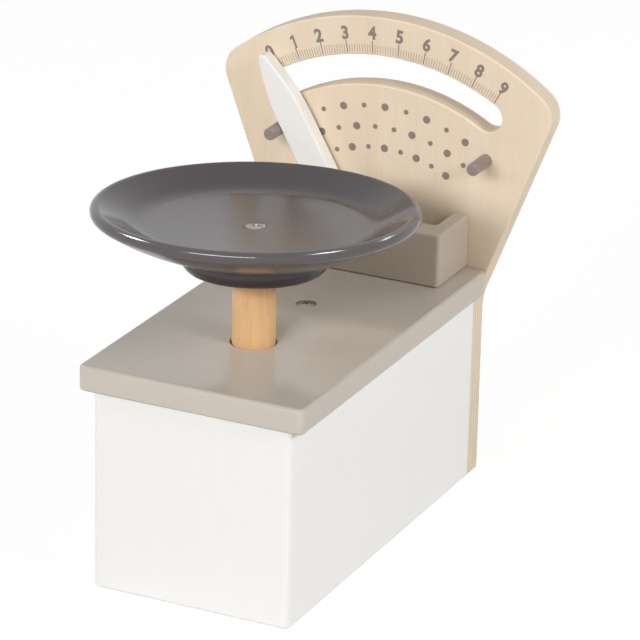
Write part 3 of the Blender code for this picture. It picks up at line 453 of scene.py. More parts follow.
def lathe(profile, steps):
    # turns (radius, height) points round Z
    bm = bmesh.new()
    verts = [bm.verts.new((radius, 0, height)) for radius, height in profile]
    edges = [bm.edges.new(pair) for pair in zip(verts, verts[1:])]
    bmesh.ops.spin(bm, geom=verts + edges, cent=(0, 0, 0), axis=(0, 0, 1), dvec=(0, 0, 0), angle=math.tau,
                   steps=steps, use_merge=True)
    bmesh.ops.remove_doubles(bm, verts=bm.verts, dist=0.0005 * mm)
    outward(bm)
    return bm


def drum(radius, low, high, ease, sides):
    # upright round bar with rounded end rims
    bm = bmesh.new()
    bmesh.ops.create_cone(bm, cap_ends=True, segments=sides, radius1=radius, radius2=radius, depth=high - low)
    bmesh.ops.translate(bm, verts=bm.verts, vec=(0, 0, (low + high) / 2))
    if ease:
        rims = [e for e in bm.edges if abs(e.verts[0].co.z - e.verts[1].co.z) < 1e-7]
        roundOff(bm, rims, ease, 3, "EDGES")
    return bm


def moved(bm, matrix):
    bmesh.ops.transform(bm, matrix=matrix, verts=bm.verts)
    return bm


def arcPoints(centre, radius, start, end, steps):
    turns = [start + (end - start) * k / steps for k in range(steps + 1)]
    return [(centre[0] + radius * math.cos(t), centre[1] + radius * math.sin(t)) for t in turns]


def onPostAxis(height):
    # place on the leaning post's own axis, at a distance above the middle of the top plate
    return Matrix.Translation(slidePlace + slideUp * height) @ slideTurn


turnToBack = Matrix.Rotation(-90 * deg, 4, "X")  # Z becomes +Y
turnToFront = Matrix.Rotation(90 * deg, 4, "X")  # Z becomes -Y
turnDown = Matrix.Rotation(180 * deg, 4, "X")

# White box: one rounded shell, split at its mitres
boxLook = {"cornerRadius": 3.0 * mm, "bottomEase": 1.7 * mm, "topEase": 1.6 * mm, "wall": 10.0 * mm,
           "mitreGap": 0.04 * mm}


def makeBox():
    low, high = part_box("right_side_panel")
    half, back, top = high.x, high.y, high.z
    inner = half - boxLook["wall"]
    front = boxFront + boxLook["wall"]
    points = [(half, back), (half, boxFront), (-half, boxFront), (-half, back), (-inner, back), (-inner, front),
              (inner, front), (inner, back)]
    radius = boxLook["cornerRadius"]
    shell = polygon(points, [0, radius, radius, 0, 0, 0, 0, 0], 0.0, 6)
    thicken(shell, Vector((0, 0, top)), boxLook["bottomEase"], boxLook["topEase"])
    mitres = {1: (Vector((half, boxFront, 0)), Vector((1, 1, 0)).normalized()),
              -1: (Vector((-half, boxFront, 0)), Vector((-1, 1, 0)).normalized())}

    def part(sides, keepBack):
        bm = shell.copy()
        for side in sides:
            place, normal = mitres[side]
            gap = normal * boxLook["mitreGap"] * (1 if keepBack else -1)
            bmesh.ops.bisect_plane(bm, geom=bm.verts[:] + bm.edges[:] + bm.faces[:], plane_co=place + gap,
                                   plane_no=normal, clear_inner=keepBack, clear_outer=not keepBack)
            bmesh.ops.holes_fill(bm, edges=[e for e in bm.edges if e.is_boundary], sides=0)
        if keepBack:  # the mitre's plane also meets the other side, which is dropped
            bmesh.ops.delete(bm, geom=[v for v in bm.verts if v.co.x * sides[0] < 0], context="VERTS")
        outward(bm)
        return bm

    newPiece("frontPanel", part((-1, 1), False), "whitePaint", "box", "white_paint", "front_panel")
    newPiece("leftSidePanel", part((-1,), True), "whitePaint", "box", "white_paint", "left_side_panel")
    newPiece("rightSidePanel", part((1,), True), "whitePaint", "box", "white_paint", "right_side_panel")
    shell.free()


makeBox()
print("box panels made")

# Taupe top plate with its post hole and countersunk screw
plateLook = {"corner": 3.2 * mm, "ease": 1.6 * mm, "postHole": 10.5 * mm, "holeEase": 0.4 * mm,
             "cutoutHalf": 31.2 * mm, "cutoutGap": 4.0 * mm, "screwBore": 2.3 * mm, "seatDepth": 3.2 * mm,
             "seatGap": 0.25 * mm, "seatRim": 0.3 * mm}


def dullSides(bm):
    # sawn sides drink the paint, so they take the second, matt material; its colour also holds painted light and
    # shade: lighter than the top on the plate's sides, a little darker and warmer on the block's sides
    bm.normal_update()
    for face in bm.faces:
        if abs(face.normal.z) < 0.5:
            face.material_index = 1


def makePlate():
    look = plateLook
    screwLow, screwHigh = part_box("fulcrum_screw")
    half, front, back = plateHigh.x, plateLow.y, plateHigh.y
    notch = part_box("lever_riser")[0].y - look["cutoutGap"]
    wide, corner = look["cutoutHalf"], look["corner"]
    points = [(-half, front), (half, front), (half, back), (wide, back), (wide, notch), (-wide, notch),
              (-wide, back), (-half, back)]
    plate = polygon(points, [corner, corner, corner, 0, corner, corner, 0, corner], plateLow.z)
    thicken(plate, Vector((0, 0, plateHigh.z - plateLow.z)), look["ease"])
    below, above = plateLow.z - 2 * mm, plateHigh.z + 2 * mm  # how far the cutters reach
    hole, ease = look["postHole"], look["holeEase"]
    rim = arcPoints((hole + ease, plateHigh.z - ease), ease, 180 * deg, 90 * deg, 4)
    profile = [(0, below), (hole, below), *rim, (hole + ease, above), (0, above)]
    postHole = moved(lathe(profile, 72), Matrix.Translation((0, slidePlace.y, 0)))
    head, bore = (screwHigh.x - screwLow.x) / 2 + look["seatGap"], look["screwBore"]
    profile = [(0, below), (bore, below), (bore, plateHigh.z - look["seatDepth"]),
               (head, plateHigh.z - look["seatRim"]), (head + look["seatRim"], above), (0, above)]
    middle = (screwLow + screwHigh) / 2
    screwHole = moved(lathe(profile, 48), Matrix.Translation((0, middle.y, 0)))
    carve(plate, postHole, screwHole)
    dullSides(plate)
    newPiece("topPlate", plate, "taupePaint taupeEdge", "box", "taupe_paint", "top_plate")


makePlate()

# Taupe block in front of the pointer
housingLook = {"corner": 1.6 * mm, "ease": 1.4 * mm, "notchHalf": 36.5 * mm, "notchDepth": 20.0 * mm}


def makeHousing():
    low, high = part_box("pointer_housing")
    root = high.y - housingLook["notchDepth"]
    wide = housingLook["notchHalf"]
    points = [(low.x, low.y), (high.x, low.y), (high.x, high.y), (wide, high.y), (wide, root), (-wide, root),
              (-wide, high.y), (low.x, high.y)]
    corner = housingLook["corner"]
    block = polygon(points, [corner, corner, corner, 0, corner, corner, 0, corner], low.z)
    thicken(block, Vector((0, 0, high.z - low.z)), housingLook["ease"] / 2, housingLook["ease"])
    dullSides(block)
    # the block wears darker copies of the taupe paint: painted shade from the dish above it
    newPiece("pointerHousing", block, "blockPaint blockEdge", "box", "taupe_paint", "pointer_housing")


makeHousing()
print("plate and housing made")

# Plywood dial board
boardLook = {"ease": 0.9 * mm, "backEase": 1.7 * mm, "footCorner": 1.9 * mm, "flareHeight": 88.0 * mm,
             "flareAngle": 20.8 * deg, "flareFillet": 30.0 * mm, "dialRadius": 128.8 * mm,
             "dialCorner": 13.0 * mm, "slotOuter": 110.3 * mm, "slotInner": 96.3 * mm, "swing": 30.0 * deg,
             "seatGap": 0.25 * mm, "seatDepth": 2.4 * mm, "screwBore": 1.9 * mm, "boreDepth": 9.0 * mm}
dialMiddle = Vector((0, boardLow.y, pointerPlace.z))


def makeBoard():
    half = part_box("right_side_panel")[1].x
    look = boardLook
    bm = bmesh.new()
    around = (0, 1, 0)  # a positive turn is clockwise seen from the front

    def at(x, z):
        return Vector((x, boardLow.y, z))

    lean = Vector((math.sin(look["flareAngle"]), 0, math.cos(look["flareAngle"])))
    inward = Vector((-lean.z, 0, lean.x))
    bend = at(half, look["flareHeight"])
    reach = look["dialRadius"] - look["dialCorner"]
    start = bend + inward * look["dialCorner"] - dialMiddle
    along = -start.dot(lean) + math.sqrt(start.dot(lean) ** 2 - start.length_squared + reach ** 2)
    cornerMiddle = dialMiddle + start + lean * along
    out = (cornerMiddle - dialMiddle).normalized()
    cornerTurn = math.atan2(out.z, out.x) - math.atan2(-inward.z, -inward.x)
    tangent = look["flareFillet"] * math.tan(look["flareAngle"] / 2)

    first = bm.verts.new(at(0, 0))
    foot = look["footCorner"]
    vert = lineTo(bm, first, at(half - foot, 0))
    vert = arcFrom(bm, vert, at(half - foot, foot), -90 * deg, around, 8)
    vert = lineTo(bm, vert, at(half, look["flareHeight"] - tangent))
    vert = arcFrom(bm, vert, at(half + look["flareFillet"], look["flareHeight"] - tangent), look["flareAngle"],
                   around, 10)
    vert = lineTo(bm, vert, cornerMiddle - inward * look["dialCorner"])
    vert = arcFrom(bm, vert, cornerMiddle, -cornerTurn, around, 18)
    vert = arcFrom(bm, vert, dialMiddle, -(90 * deg - math.atan2(out.z, out.x)), around, 48)
    slotMiddle = (look["slotOuter"] + look["slotInner"]) / 2
    end = dialMiddle + slotMiddle * Vector((math.sin(look["swing"]), 0, math.cos(look["swing"])))
    vert = lineTo(bm, vert, dialMiddle + Vector((0, 0, look["slotOuter"])))
    vert = arcFrom(bm, vert, dialMiddle, look["swing"], around, 40)
    vert = arcFrom(bm, vert, end, 180 * deg, around, 20)
    vert = arcFrom(bm, vert, dialMiddle, -look["swing"], around, 40)
    bm.edges.new((vert, first))
    for v in bm.verts:
        if abs(v.co.x) < 1e-6:
            v.co.x = 0.0
    bmesh.ops.contextual_create(bm, geom=bm.edges[:])
    bmesh.ops.mirror(bm, geom=bm.verts[:] + bm.edges[:] + bm.faces[:], matrix=Matrix.Identity(4),
                     merge_dist=0.001 * mm, axis="X")
    outward(bm)
    thicken(bm, Vector((0, boardHigh.y - boardLow.y, 0)), look["ease"], look["backEase"])
    carve(bm, *[screwSeat(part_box(f"backboard_screw_{k}")) for k in range(1, 5)])
    newPiece("dialBoard", bm, "plywood", "box", "plywood", "backboard")


def screwSeat(box):
    # countersink for a flat-headed screw driven in from behind
    low, high = box
    head, bore = (high.x - low.x) / 2 + boardLook["seatGap"], boardLook["screwBore"]
    profile = [(0, -boardLook["boreDepth"]), (bore, -boardLook["boreDepth"]), (bore, -boardLook["seatDepth"]),
               (head, high.y - boardHigh.y), (head, 1 * mm), (0, 1 * mm)]
    middle = (low + high) / 2
    return moved(lathe(profile, 32), Matrix.Translation((middle.x, boardHigh.y, middle.z)) @ turnToBack)


makeBoard()
print("dial board made")

# Print on the dial: numbers, ticks and dots, a thin layer of ink standing on the veneer
printLook = {"ink": 0.05 * mm, "sunk": 0.15 * mm, "numberRadius": 121.0 * mm, "numberHeight": 6.5 * mm,
             "numberDrop": 1.2 * mm, "dropMiddle": 3.0 * deg, "firstNumber": -30.0 * deg,
             "numberPitch": 6.6 * deg, "bold": 0.042, "narrow": 0.92,
             "tickStart": 111.35 * mm, "majorLength": 5.9 * mm, "majorWidth": 0.48 * mm, "minorLength": 3.9 * mm,
             "minorWidth": 0.19 * mm, "minorsPerNumber": 10, "smallDot": 1.2 * mm, "largeDot": 1.85 * mm,
             "one": [(0, -0.5), (0.17, -0.5), (0.17, 0.5), (0.05, 0.5), (-0.2, 0.34), (-0.2, 0.17), (0, 0.27)]}
dotRows = [
    (86.0 * mm, [(-21.3, 0), (-14.2, 1), (-7.1, 0), (0.0, 1), (7.2, 0), (14.3, 1), (21.4, 0), (28.4, 1)]),
    (76.0 * mm, [(-24.8, 1), (-17.8, 0), (-10.7, 1), (-3.5, 0), (3.7, 0), (10.7, 1), (18.0, 0), (25.0, 1),
                 (32.1, 0)]),
    (66.0 * mm, [(-28.4, 1), (-21.2, 0), (-14.1, 1), (-6.8, 0), (0.3, 1), (7.5, 0), (14.6, 1), (21.7, 0),
                 (28.8, 1)]),
]


def onDial(angle, radius):
    # frame on the dial's face: X to the right of the reader, Z outwards along the radius
    return (Matrix.Translation(dialMiddle) @ Matrix.Rotation(angle, 4, "Y")
            @ Matrix.Translation((0, 0, radius)))


def inkBar(bm, angle, low, high, width):
    made = bmesh.ops.create_cube(bm, size=1.0)["verts"]
    depth = printLook["ink"] + printLook["sunk"]
    bmesh.ops.scale(bm, verts=made, vec=(width, depth, high - low))
    bmesh.ops.translate(bm, verts=made, vec=(0, depth / 2 - printLook["ink"], 0))
    bmesh.ops.transform(bm, matrix=onDial(angle, (low + high) / 2), verts=made)


def makeTicks():
    bm = bmesh.new()
    look = printLook
    start = look["tickStart"]
    for k in range(10):
        angle = look["firstNumber"] + look["numberPitch"] * k
        inkBar(bm, angle, start, start + look["majorLength"], look["majorWidth"])
        if k < 9:
            for j in range(1, look["minorsPerNumber"]):
                step = look["numberPitch"] * j / look["minorsPerNumber"]
                inkBar(bm, angle + step, start, start + look["minorLength"], look["minorWidth"])
    newPiece("dialTicks", bm, "dialInk", "box", "grey_paint")


def makeDots():
    bm = bmesh.new()
    look = printLook
    depth = look["ink"] + look["sunk"]
    for radius, dots in dotRows:
        for angle, large in dots:
            size = look["largeDot"] if large else look["smallDot"]
            made = bmesh.ops.create_cone(bm, cap_ends=True, segments=24, radius1=size, radius2=size, depth=depth)
            turn = onDial(angle * deg, radius) @ Matrix.Translation((0, depth / 2 - look["ink"], 0)) @ turnToBack
            bmesh.ops.transform(bm, matrix=turn, verts=made["verts"])
    newPiece("dialDots", bm, "dialInk", "box", "grey_paint")


def makeNumbers():
    bm = bmesh.new()
    look = printLook
    depth = look["ink"] + look["sunk"]
    for k in range(10):
        text = bpy.data.curves.new("number", "FONT")
        text.body = str(k)
        text.align_x = "CENTER"
        text.align_y = "CENTER"
        text.offset = look["bold"]
        text.resolution_u = 6
        holder = placed("number", text)
        flat = bpy.data.meshes.new_from_object(holder.evaluated_get(bpy.context.evaluated_depsgraph_get()))
        digit = bmesh.new()
        digit.from_mesh(flat)
        if k == 1:  # the font's own one is a bare stroke, so it gets a flag
            digit.clear()
            digit.faces.new([digit.verts.new((x, y, 0)) for x, y in look["one"]])
        bmesh.ops.remove_doubles(digit, verts=digit.verts, dist=0.0001)
        xs = [v.co.x for v in digit.verts]
        ys = [v.co.y for v in digit.verts]
        size = look["numberHeight"] / (max(ys) - min(ys))
        bmesh.ops.translate(digit, verts=digit.verts, vec=(-(min(xs) + max(xs)) / 2, -(min(ys) + max(ys)) / 2, 0))
        bmesh.ops.scale(digit, verts=digit.verts, vec=(size * look["narrow"], size, size))
        pulled = bmesh.ops.extrude_face_region(digit, geom=digit.faces[:])
        bmesh.ops.translate(digit, verts=vertsOf(pulled["geom"]), vec=(0, 0, depth))
        outward(digit)
        angle = look["firstNumber"] + look["numberPitch"] * k
        share = (angle - look["dropMiddle"]) / look["firstNumber"]
        place = onDial(angle, look["numberRadius"] - look["numberDrop"] * share ** 2)
        sink = Matrix.Translation((0, look["sunk"], 0))
        moved(digit, place @ sink @ turnToFront)
        joined = bpy.data.meshes.new("digit")
        digit.to_mesh(joined)
        digit.free()
        bm.from_mesh(joined)
        bpy.data.objects.remove(holder)
        bpy.data.meshes.remove(joined)
        bpy.data.meshes.remove(flat)
        bpy.data.curves.remove(text)
    newPiece("dialNumbers", bm, "dialInk", "box", "grey_paint")


makeTicks()
makeDots()
makeNumbers()
print("dial printed")

# Stop pegs
pegLook = {"ease": 0.9 * mm, "inBoard": 3.0 * mm}


def makePegs():
    for name, node in (("leftStopPeg", "left_stop_peg"), ("rightStopPeg", "right_stop_peg")):
        low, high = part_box(node)
        middle = (low + high) / 2
        length = boardLow.y + pegLook["inBoard"] - low.y
        peg = drum((high.x - low.x) / 2, 0, length, pegLook["ease"], 40)
        moved(peg, Matrix.Translation((middle.x, low.y, middle.z)) @ turnToBack)
        newPiece(name, peg, "pegPaint", "box", "grey_paint", node)


makePegs()

# Pointer
pointerLook = {"length": 120.4 * mm, "half": 7.25 * mm, "straight": 85.0 * mm, "tip": 2.0 * mm, "ease": 1.0 * mm,
               "crankHalf": 8.0 * mm, "crankWall": 5.0 * mm, "slotHalf": 3.7 * mm, "inner": 3.0 * mm,
               "rest": -30.0 * deg, "thinned": 1.4 * mm, "bore": 3.3 * mm}


def makePointer():
    look = pointerLook
    low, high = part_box("pointer")
    pinLow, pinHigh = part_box("drive_pin")
    pivot = Vector((0, 0, pointerPlace.z))
    pin = Vector(((pinLow.x + pinHigh.x) / 2, 0, (pinLow.z + pinHigh.z) / 2)) - pivot
    reach = abs(pin.x)
    crankEnd = pin.length + look["crankWall"]
    root = reach - look["slotHalf"]
    half, straightEnd, tip = look["half"], look["straight"], look["tip"]
    taper = look["length"] - tip - straightEnd
    bend = (half ** 2 + taper ** 2 - tip ** 2) / 2 / (half - tip)
    endTurn = math.atan2(taper, bend - half)
    bm = bmesh.new()
    around = (0, 0, -1)  # drawn flat in XY; a positive turn is clockwise

    heel = bm.verts.new((half, -look["crankHalf"], 0))
    vert = lineTo(bm, heel, (half, straightEnd, 0))
    vert = arcFrom(bm, vert, (half - bend, straightEnd, 0), -endTurn, around, 14)
    vert = arcFrom(bm, vert, (0, look["length"] - tip, 0), -(180 * deg - 2 * endTurn), around, 10)
    vert = arcFrom(bm, vert, (bend - half, straightEnd, 0), -endTurn, around, 14)
    cornersToRound = []
    for x, y, isRound in ((-half, look["crankHalf"], True), (-crankEnd, look["crankHalf"], True),
                          (-crankEnd, look["slotHalf"], False), (-root, look["slotHalf"], True),
                          (-root, -look["slotHalf"], True), (-crankEnd, -look["slotHalf"], False),
                          (-crankEnd, -look["crankHalf"], True)):
        vert = lineTo(bm, vert, (x, y, 0))
        if isRound:
            cornersToRound.append(vert)
    bm.edges.new((vert, heel))
    bmesh.ops.contextual_create(bm, geom=bm.edges[:])
    roundOff(bm, cornersToRound, look["inner"], 5)
    roundOff(bm, [heel], half - look["ease"], 6)
    thickness = high.y - low.y - look["thinned"]
    thicken(bm, Vector((0, 0, thickness)), look["ease"])
    carve(bm, drum(look["bore"], -1 * mm, thickness + 1 * mm, 0, 40))
    place = Matrix.Translation((0, high.y, pointerPlace.z)) @ Matrix.Rotation(look["rest"], 4, "Y") @ turnToFront
    moved(bm, place)
    newPiece("pointerBlade", bm, "pointerPaint", "pointer", "white_paint", "pointer")


makePointer()
print("pegs and pointer made")

# Turned dish on its leaning post
dishLook = {"radius": 72.65 * mm, "height": 29.3 * mm, "lip": 2.8 * mm, "underlip": -64.0 * deg,
            "floor": 20.0 * mm, "floorAngle": 2.8 * deg, "floorRise": 0.85 * mm, "floorFillet": 22.0 * mm,
            "wallAngle": 27.5 * deg, "footRadius": 32.5 * mm, "footHeight": 7.3 * mm, "footEdge": 5.0 * mm,
            "step": 0.8 * mm, "belly": (57.2 * mm, 14.8 * mm), "base": 39.0 * mm, "bore": 2.3 * mm,
            "seat": 5.0 * mm, "seatDepth": 2.9 * mm, "seatEdge": 0.15 * mm}
postLook = {"radius": 9.75 * mm, "ease": 0.6 * mm, "gap": 0.1 * mm, "foot": -55.5 * mm, "bore": 20.3 * mm}


def makeDish():
    look = dishLook
    lip = (look["radius"] - look["lip"], look["height"] - look["lip"])
    edge = look["footEdge"]
    bore, floor = look["bore"], look["floor"]
    foot = [(bore, 0), *arcPoints((look["footRadius"] - edge, edge), edge, -90 * deg, 0, 12)]
    step = Vector((look["footRadius"] + look["step"], look["footHeight"] + look["step"] / 2))
    rim = arcPoints(lip, look["lip"], look["underlip"], 90 * deg + look["wallAngle"], 24)
    belly, rimStart = Vector(look["belly"]), Vector(rim[0])
    shares = [k / 20 for k in range(20)]
    under = [tuple((1 - t) ** 2 * step + 2 * t * (1 - t) * belly + t ** 2 * rimStart) for t in shares]
    # the wall runs straight into a fillet, and the floor dips a little to its middle
    angle, ending, fillet = look["wallAngle"], look["floorAngle"], look["floorFillet"]
    centreHeight = floor + look["floorRise"] + fillet * math.cos(ending)
    touch = centreHeight - fillet * math.cos(angle)
    centreRadius = rim[-1][0] - (rim[-1][1] - touch) / math.tan(angle) - fillet * math.sin(angle)
    bowl = arcPoints((centreRadius, centreHeight), fillet, angle - 90 * deg, ending - 90 * deg, 12)
    reach = bowl[-1][0]
    bowl += [(reach * k / 10, floor + look["floorRise"] * (k / 10) ** 2) for k in range(9, 1, -1)]
    seat = [(look["seat"] + look["seatEdge"], floor), (look["seat"], floor - look["seatEdge"]),
            (bore, floor - look["seatDepth"])]
    profile = [*foot, (look["footRadius"], look["footHeight"]), *under, *rim, *bowl, *seat, (bore, 0)]
    dish = lathe(profile, 160)
    dish.normal_update()
    for face in dish.faces:  # the rim is painted lighter (painted light), the underside duller and painted lighter and warmer (painted reflection of the plate below), the foot painted darker (painted shade)
        middle = face.calc_center_median()
        if middle.xy.length > lip[0] and middle.z > rimStart.y:
            face.material_index = 1
        elif face.normal.z < 0 and middle.z < rimStart.y:
            face.material_index = 2 if middle.z > look["footHeight"] else 3
    moved(dish, onPostAxis(look["base"]))
    newPiece("weighingDish", dish, "dishLacquer dishRim dishUnderside dishFoot", "dish_post", "dish_lacquer",
             "weighing_dish", sharp=50)


def makePost():
    look = postLook
    top = dishLook["base"] - look["gap"]
    post = drum(look["radius"], look["foot"], top, look["ease"], 64)
    carve(post, drum(dishLook["bore"], top - look["bore"], top + 1 * mm, 0, 24))
    newPiece("dishPost", moved(post, onPostAxis(0)), "beechWood", "dish_post", "beech", "post")


makeDish()
makePost()
print("dish and post made")

# Cross-head screws
screwLook = {  # sunk is below the surface, spare what the screw is shorter than its hole
    "dish": {"radius": 4.65 * mm, "dome": 0.25 * mm, "shank": 2.0 * mm, "recess": 2.6 * mm, "bar": 1.0 * mm,
             "depth": 1.6 * mm, "rim": 0.12 * mm, "sunk": 0.1 * mm, "spare": 0.6 * mm, "turn": 20 * deg},
    "plate": {"radius": 4.6 * mm, "dome": 0.35 * mm, "shank": 2.0 * mm, "recess": 2.5 * mm, "bar": 1.0 * mm,
              "depth": 1.6 * mm, "rim": 0.12 * mm, "sunk": 0.15 * mm, "spare": 1.0 * mm, "turn": 38 * deg},
    "small": {"radius": 3.5 * mm, "dome": 0.0, "shank": 1.75 * mm, "recess": 1.9 * mm, "bar": 0.75 * mm,
              "depth": 1.2 * mm, "rim": 0.12 * mm},
}


def crossRecess(look, top):
    # two tapering bars crossed at the middle of the head
    cutters = []
    for turn in (0, 90 * deg):
        bm = bmesh.new()
        made = bmesh.ops.create_cube(bm, size=1.0)["verts"]
        bmesh.ops.scale(bm, verts=made, vec=(2 * look["recess"], look["bar"], look["depth"] + 1 * mm))
        bmesh.ops.translate(bm, verts=made, vec=(0, 0, top - look["depth"] / 2 + 0.5 * mm))
        bottom = [v for v in made if v.co.z < top - look["depth"] / 2]
        bmesh.ops.scale(bm, verts=bottom, vec=(0.35, 0.6, 1))
        cutters.append(moved(bm, Matrix.Rotation(turn, 4, "Z")))
    return cutters


def screwHead(look, length, turn):
    # countersunk screw on Z with its rim at zero
    radius, dome, shank = look["radius"], look["dome"], look["shank"]
    crown = [(radius * k / 6, dome * (1 - (k / 6) ** 2)) for k in range(7)]
    profile = [*crown, (radius, -look["rim"]), (shank, shank - radius), (shank, 2 * shank - length), (0, -length)]
    bm = lathe(profile, 48)
    carve(bm, *crossRecess(look, dome * 0.9))
    return moved(bm, Matrix.Rotation(turn, 4, "Z"))


def makeScrews():
    look = screwLook["dish"]
    bm = screwHead(look, dishLook["floor"] + postLook["bore"] - look["spare"], look["turn"])
    place = onPostAxis(dishLook["base"] + dishLook["floor"] - look["sunk"])
    newPiece("dishScrew", moved(bm, place), "headSteel", "dish_post", "steel", "dish_screw")
    look = screwLook["plate"]
    low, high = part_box("fulcrum_screw")
    middle = (low + high) / 2
    bm = screwHead(look, high.z - low.z - look["spare"], look["turn"])
    place = Matrix.Translation((0, middle.y, plateHigh.z - look["sunk"]))
    newPiece("plateScrew", moved(bm, place), "headSteel", "box", "steel", "fulcrum_screw")
    for k in range(1, 5):
        low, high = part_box(f"backboard_screw_{k}")
        middle = (low + high) / 2
        bm = screwHead(screwLook["small"], high.y - low.y, (17 + 31 * k) * deg)
        place = Matrix.Translation((middle.x, high.y, middle.z)) @ turnToBack
        newPiece(f"backboardScrew{k}", moved(bm, place), "zincSteel", "box", "steel", f"backboard_screw_{k}")
        low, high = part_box(f"bottom_screw_{k}")
        middle = (low + high) / 2
        bm = screwHead(screwLook["small"], high.z - low.z, (9 + 23 * k) * deg)
        place = Matrix.Translation((middle.x, middle.y, low.z)) @ turnDown
        newPiece(f"bottomScrew{k}", moved(bm, place), "zincSteel", "box", "steel", f"bottom_screw_{k}")


makeScrews()
print("screws made")

# Return spring in the guide cup, given a mesh of its own
springLook = {"wire": 1.5 * mm, "turns": 6, "stepsPerTurn": 32, "sides": 12}


def makeSpring():
    look = springLook
    low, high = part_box("return_spring")
    middle, half = (low + high) / 2, look["wire"] / 2
    steps = look["turns"] * look["stepsPerTurn"]
    bm = bmesh.new()
    bmesh.ops.create_circle(bm, cap_ends=False, segments=look["sides"], radius=half,
                            matrix=Matrix.Translation(((high.x - low.x) / 2 - half, 0, 0)) @ turnToFront)
    bmesh.ops.spin(bm, geom=bm.verts[:] + bm.edges[:], cent=(0, 0, 0), axis=(0, 0, 1),
                   dvec=(0, 0, (high.z - low.z - look["wire"]) / steps), angle=math.tau * look["turns"],
                   steps=steps, use_duplicate=False)
    bmesh.ops.holes_fill(bm, edges=[e for e in bm.edges if e.is_boundary], sides=look["sides"])
    outward(bm)
    moved(bm, Matrix.Translation((middle.x, middle.y, low.z + half)))
    spring = newPiece("returnSpring", bm, "springSteel", "box", "spring_steel", "return_spring")
    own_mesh(spring)


makeSpring()
print("spring made")

# CAD nodes that stay, with their finishes
keptLook = {
    "whitePaint": ["bottom_panel"],
    "beechWood": ["guide_cup", "fulcrum_block", "lever_riser", "plate_dowel_1", "plate_dowel_2", "plate_dowel_3",
                  "plate_dowel_4"],
    "leverWood": ["lever", "left_batten", "right_batten"],
    "zincSteel": ["left_housing_screw", "right_housing_screw", "lever_pivot_pin", "cross_pin", "drive_pin",
                  "pointer_pivot_pin", "pointer_washer"],
}
for finishName, names in keptLook.items():
    for name in names:
        materials = frame["nodes"][name].data.materials
        materials.clear()
        materials.append(finishes[finishName])
print("kept nodes finished")

# Stage: pale floor, soft studio light and the camera
stageLook = {"floorSize": 8.0, "floorShade": 0.16, "floorGlow": 0.90, "worldColour": (1.0, 0.95, 0.89, 1),
             "zenith": 0.12, "horizon": 0.40, "zenithFrom": 0.8, "floorBounce": 0.74}


def backgroundRays(tree):
    # one for rays that should see the white background: camera, mirror and glass rays
    path = addNode(tree, "ShaderNodeLightPath")
    seen = maths(tree, "MAXIMUM", path.outputs["Is Camera Ray"], path.outputs["Is Glossy Ray"])
    return maths(tree, "MAXIMUM", seen, path.outputs["Is Transmission Ray"])


def makeFloor():
    bm = bmesh.new()
    bmesh.ops.create_grid(bm, x_segments=1, y_segments=1, size=stageLook["floorSize"])
    mesh = bpy.data.meshes.new("floor")
    bm.to_mesh(mesh)
    bm.free()
    floor = placed("floor", mesh)
    material = bpy.data.materials.new("floorCard")
    material.use_nodes = True
    tree = material.node_tree
    tree.nodes.remove(tree.nodes["Principled BSDF"])
    lit = addNode(tree, "ShaderNodeBsdfDiffuse", Color=(*[stageLook["floorBounce"]] * 3, 1))
    shaded = addNode(tree, "ShaderNodeBsdfDiffuse", Color=(*[stageLook["floorShade"]] * 3, 1))
    glow = addNode(tree, "ShaderNodeEmission", Strength=stageLook["floorGlow"])
    white = addNode(tree, "ShaderNodeAddShader", i0=shaded.outputs[0], i1=glow.outputs[0])
    chosen = addNode(tree, "ShaderNodeMixShader", i0=backgroundRays(tree), i1=lit.outputs[0],
                     i2=white.outputs[0])
    tree.links.new(chosen.outputs[0], tree.nodes["Material Output"].inputs["Surface"])
    mesh.materials.append(material)


def makeWorld():
    world = bpy.data.worlds.new("studio")
    scene.world = world
    world.use_nodes = True
    tree = world.node_tree
    tree.nodes.clear()
    up = addNode(tree, "ShaderNodeSeparateXYZ",
                 i0=addNode(tree, "ShaderNodeTexCoord").outputs["Generated"]).outputs[2]
    strength = ranged(tree, up, 0.0, stageLook["zenithFrom"], stageLook["horizon"], stageLook["zenith"])
    soft = addNode(tree, "ShaderNodeBackground", Color=stageLook["worldColour"], Strength=strength)
    white = addNode(tree, "ShaderNodeBackground", Color=(1, 1, 1, 1), Strength=1.0)
    chosen = addNode(tree, "ShaderNodeMixShader", i0=backgroundRays(tree), i1=soft.outputs[0],
                     i2=white.outputs[0])
    output = addNode(tree, "ShaderNodeOutputWorld")
    tree.links.new(chosen.outputs[0], output.inputs["Surface"])


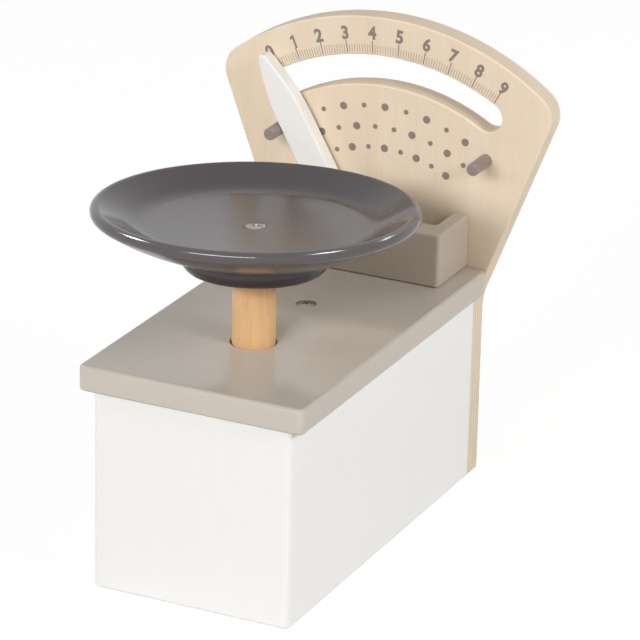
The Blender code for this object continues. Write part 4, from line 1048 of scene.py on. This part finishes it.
lampLook = {  # turn is from straight ahead towards the right, lift above the horizon
    "keyLamp": {"turn": -8 * deg, "lift": 25 * deg, "distance": 3.0, "size": (1.8, 0.6), "power": 48.0},
    "rightLamp": {"turn": 80 * deg, "lift": 31 * deg, "distance": 2.0, "size": (0.6, 0.5), "power": 17.2},
    "backLamp": {"turn": 142 * deg, "lift": 28 * deg, "distance": 2.0, "size": (0.8, 0.16), "power": 5.0},
    "leftLamp": {"turn": -74 * deg, "lift": 25 * deg, "distance": 2.0, "size": (0.4, 0.4), "power": 5.5},
}
glintLook = {  # only mirrored: higher up, so that the flat tops don't glare when seen from other sides
    "frontGlint": {"turn": 0.5 * deg, "lift": 37 * deg, "distance": 3.0, "size": (2.2, 0.3), "power": 62.0},
    "rightGlint": {"turn": 97 * deg, "lift": 55 * deg, "distance": 2.0, "size": (0.5, 0.4), "power": 20.0},
    "backGlint": {"turn": 159 * deg, "lift": 38 * deg, "distance": 2.0, "size": (0.8, 0.16), "power": 5.0},
    "leftGlint": {"turn": -89 * deg, "lift": 40 * deg, "distance": 2.0, "size": (0.5, 0.4), "power": 22.0},
}
lampAim = Vector((0, 0, 0.12))


def makeLamps():
    for name, look in {**lampLook, **glintLook}.items():
        data = bpy.data.lights.new(name, "AREA")
        data.shape = "RECTANGLE"
        data.size, data.size_y = look["size"]
        data.energy = look["power"]
        lamp = placed(name, data)
        turn, lift = look["turn"], look["lift"]
        away = Vector((math.sin(turn) * math.cos(lift), -math.cos(turn) * math.cos(lift), math.sin(lift)))
        lamp.location = lampAim + away * look["distance"]
        lamp.rotation_euler = (lampAim - lamp.location).to_track_quat("-Z", "Y").to_euler()
        lamp.visible_glossy = name in glintLook
        lamp.visible_diffuse = name in lampLook


cameraLook = {"place": (0.746474, -1.554378, 0.772797), "yaw": -25.223 * deg, "pitch": 21.231 * deg,
              "roll": 1.367 * deg, "lens": 231.67, "sensor": 36.0, "clip": (0.05, 60.0)}


def makeCamera():
    look = cameraLook
    data = bpy.data.cameras.new("photoCamera")
    data.sensor_width = look["sensor"]
    data.lens = look["lens"]
    data.clip_start, data.clip_end = look["clip"]
    yaw, pitch, roll = look["yaw"], look["pitch"], look["roll"]
    ahead = Vector((math.sin(yaw) * math.cos(pitch), math.cos(yaw) * math.cos(pitch), -math.sin(pitch)))
    right = Vector((math.cos(yaw), -math.sin(yaw), 0))
    up = right.cross(ahead)
    turnedRight = right * math.cos(roll) + up * math.sin(roll)
    turnedUp = up * math.cos(roll) - right * math.sin(roll)
    camera = placed("photoCamera", data)
    axes = Matrix((turnedRight, turnedUp, -ahead)).transposed().to_4x4()
    camera.matrix_world = Matrix.Translation(look["place"]) @ axes
    scene.camera = camera


makeFloor()
makeWorld()
makeLamps()
makeCamera()
scene.view_settings.view_transform = "Standard"
print("stage set")
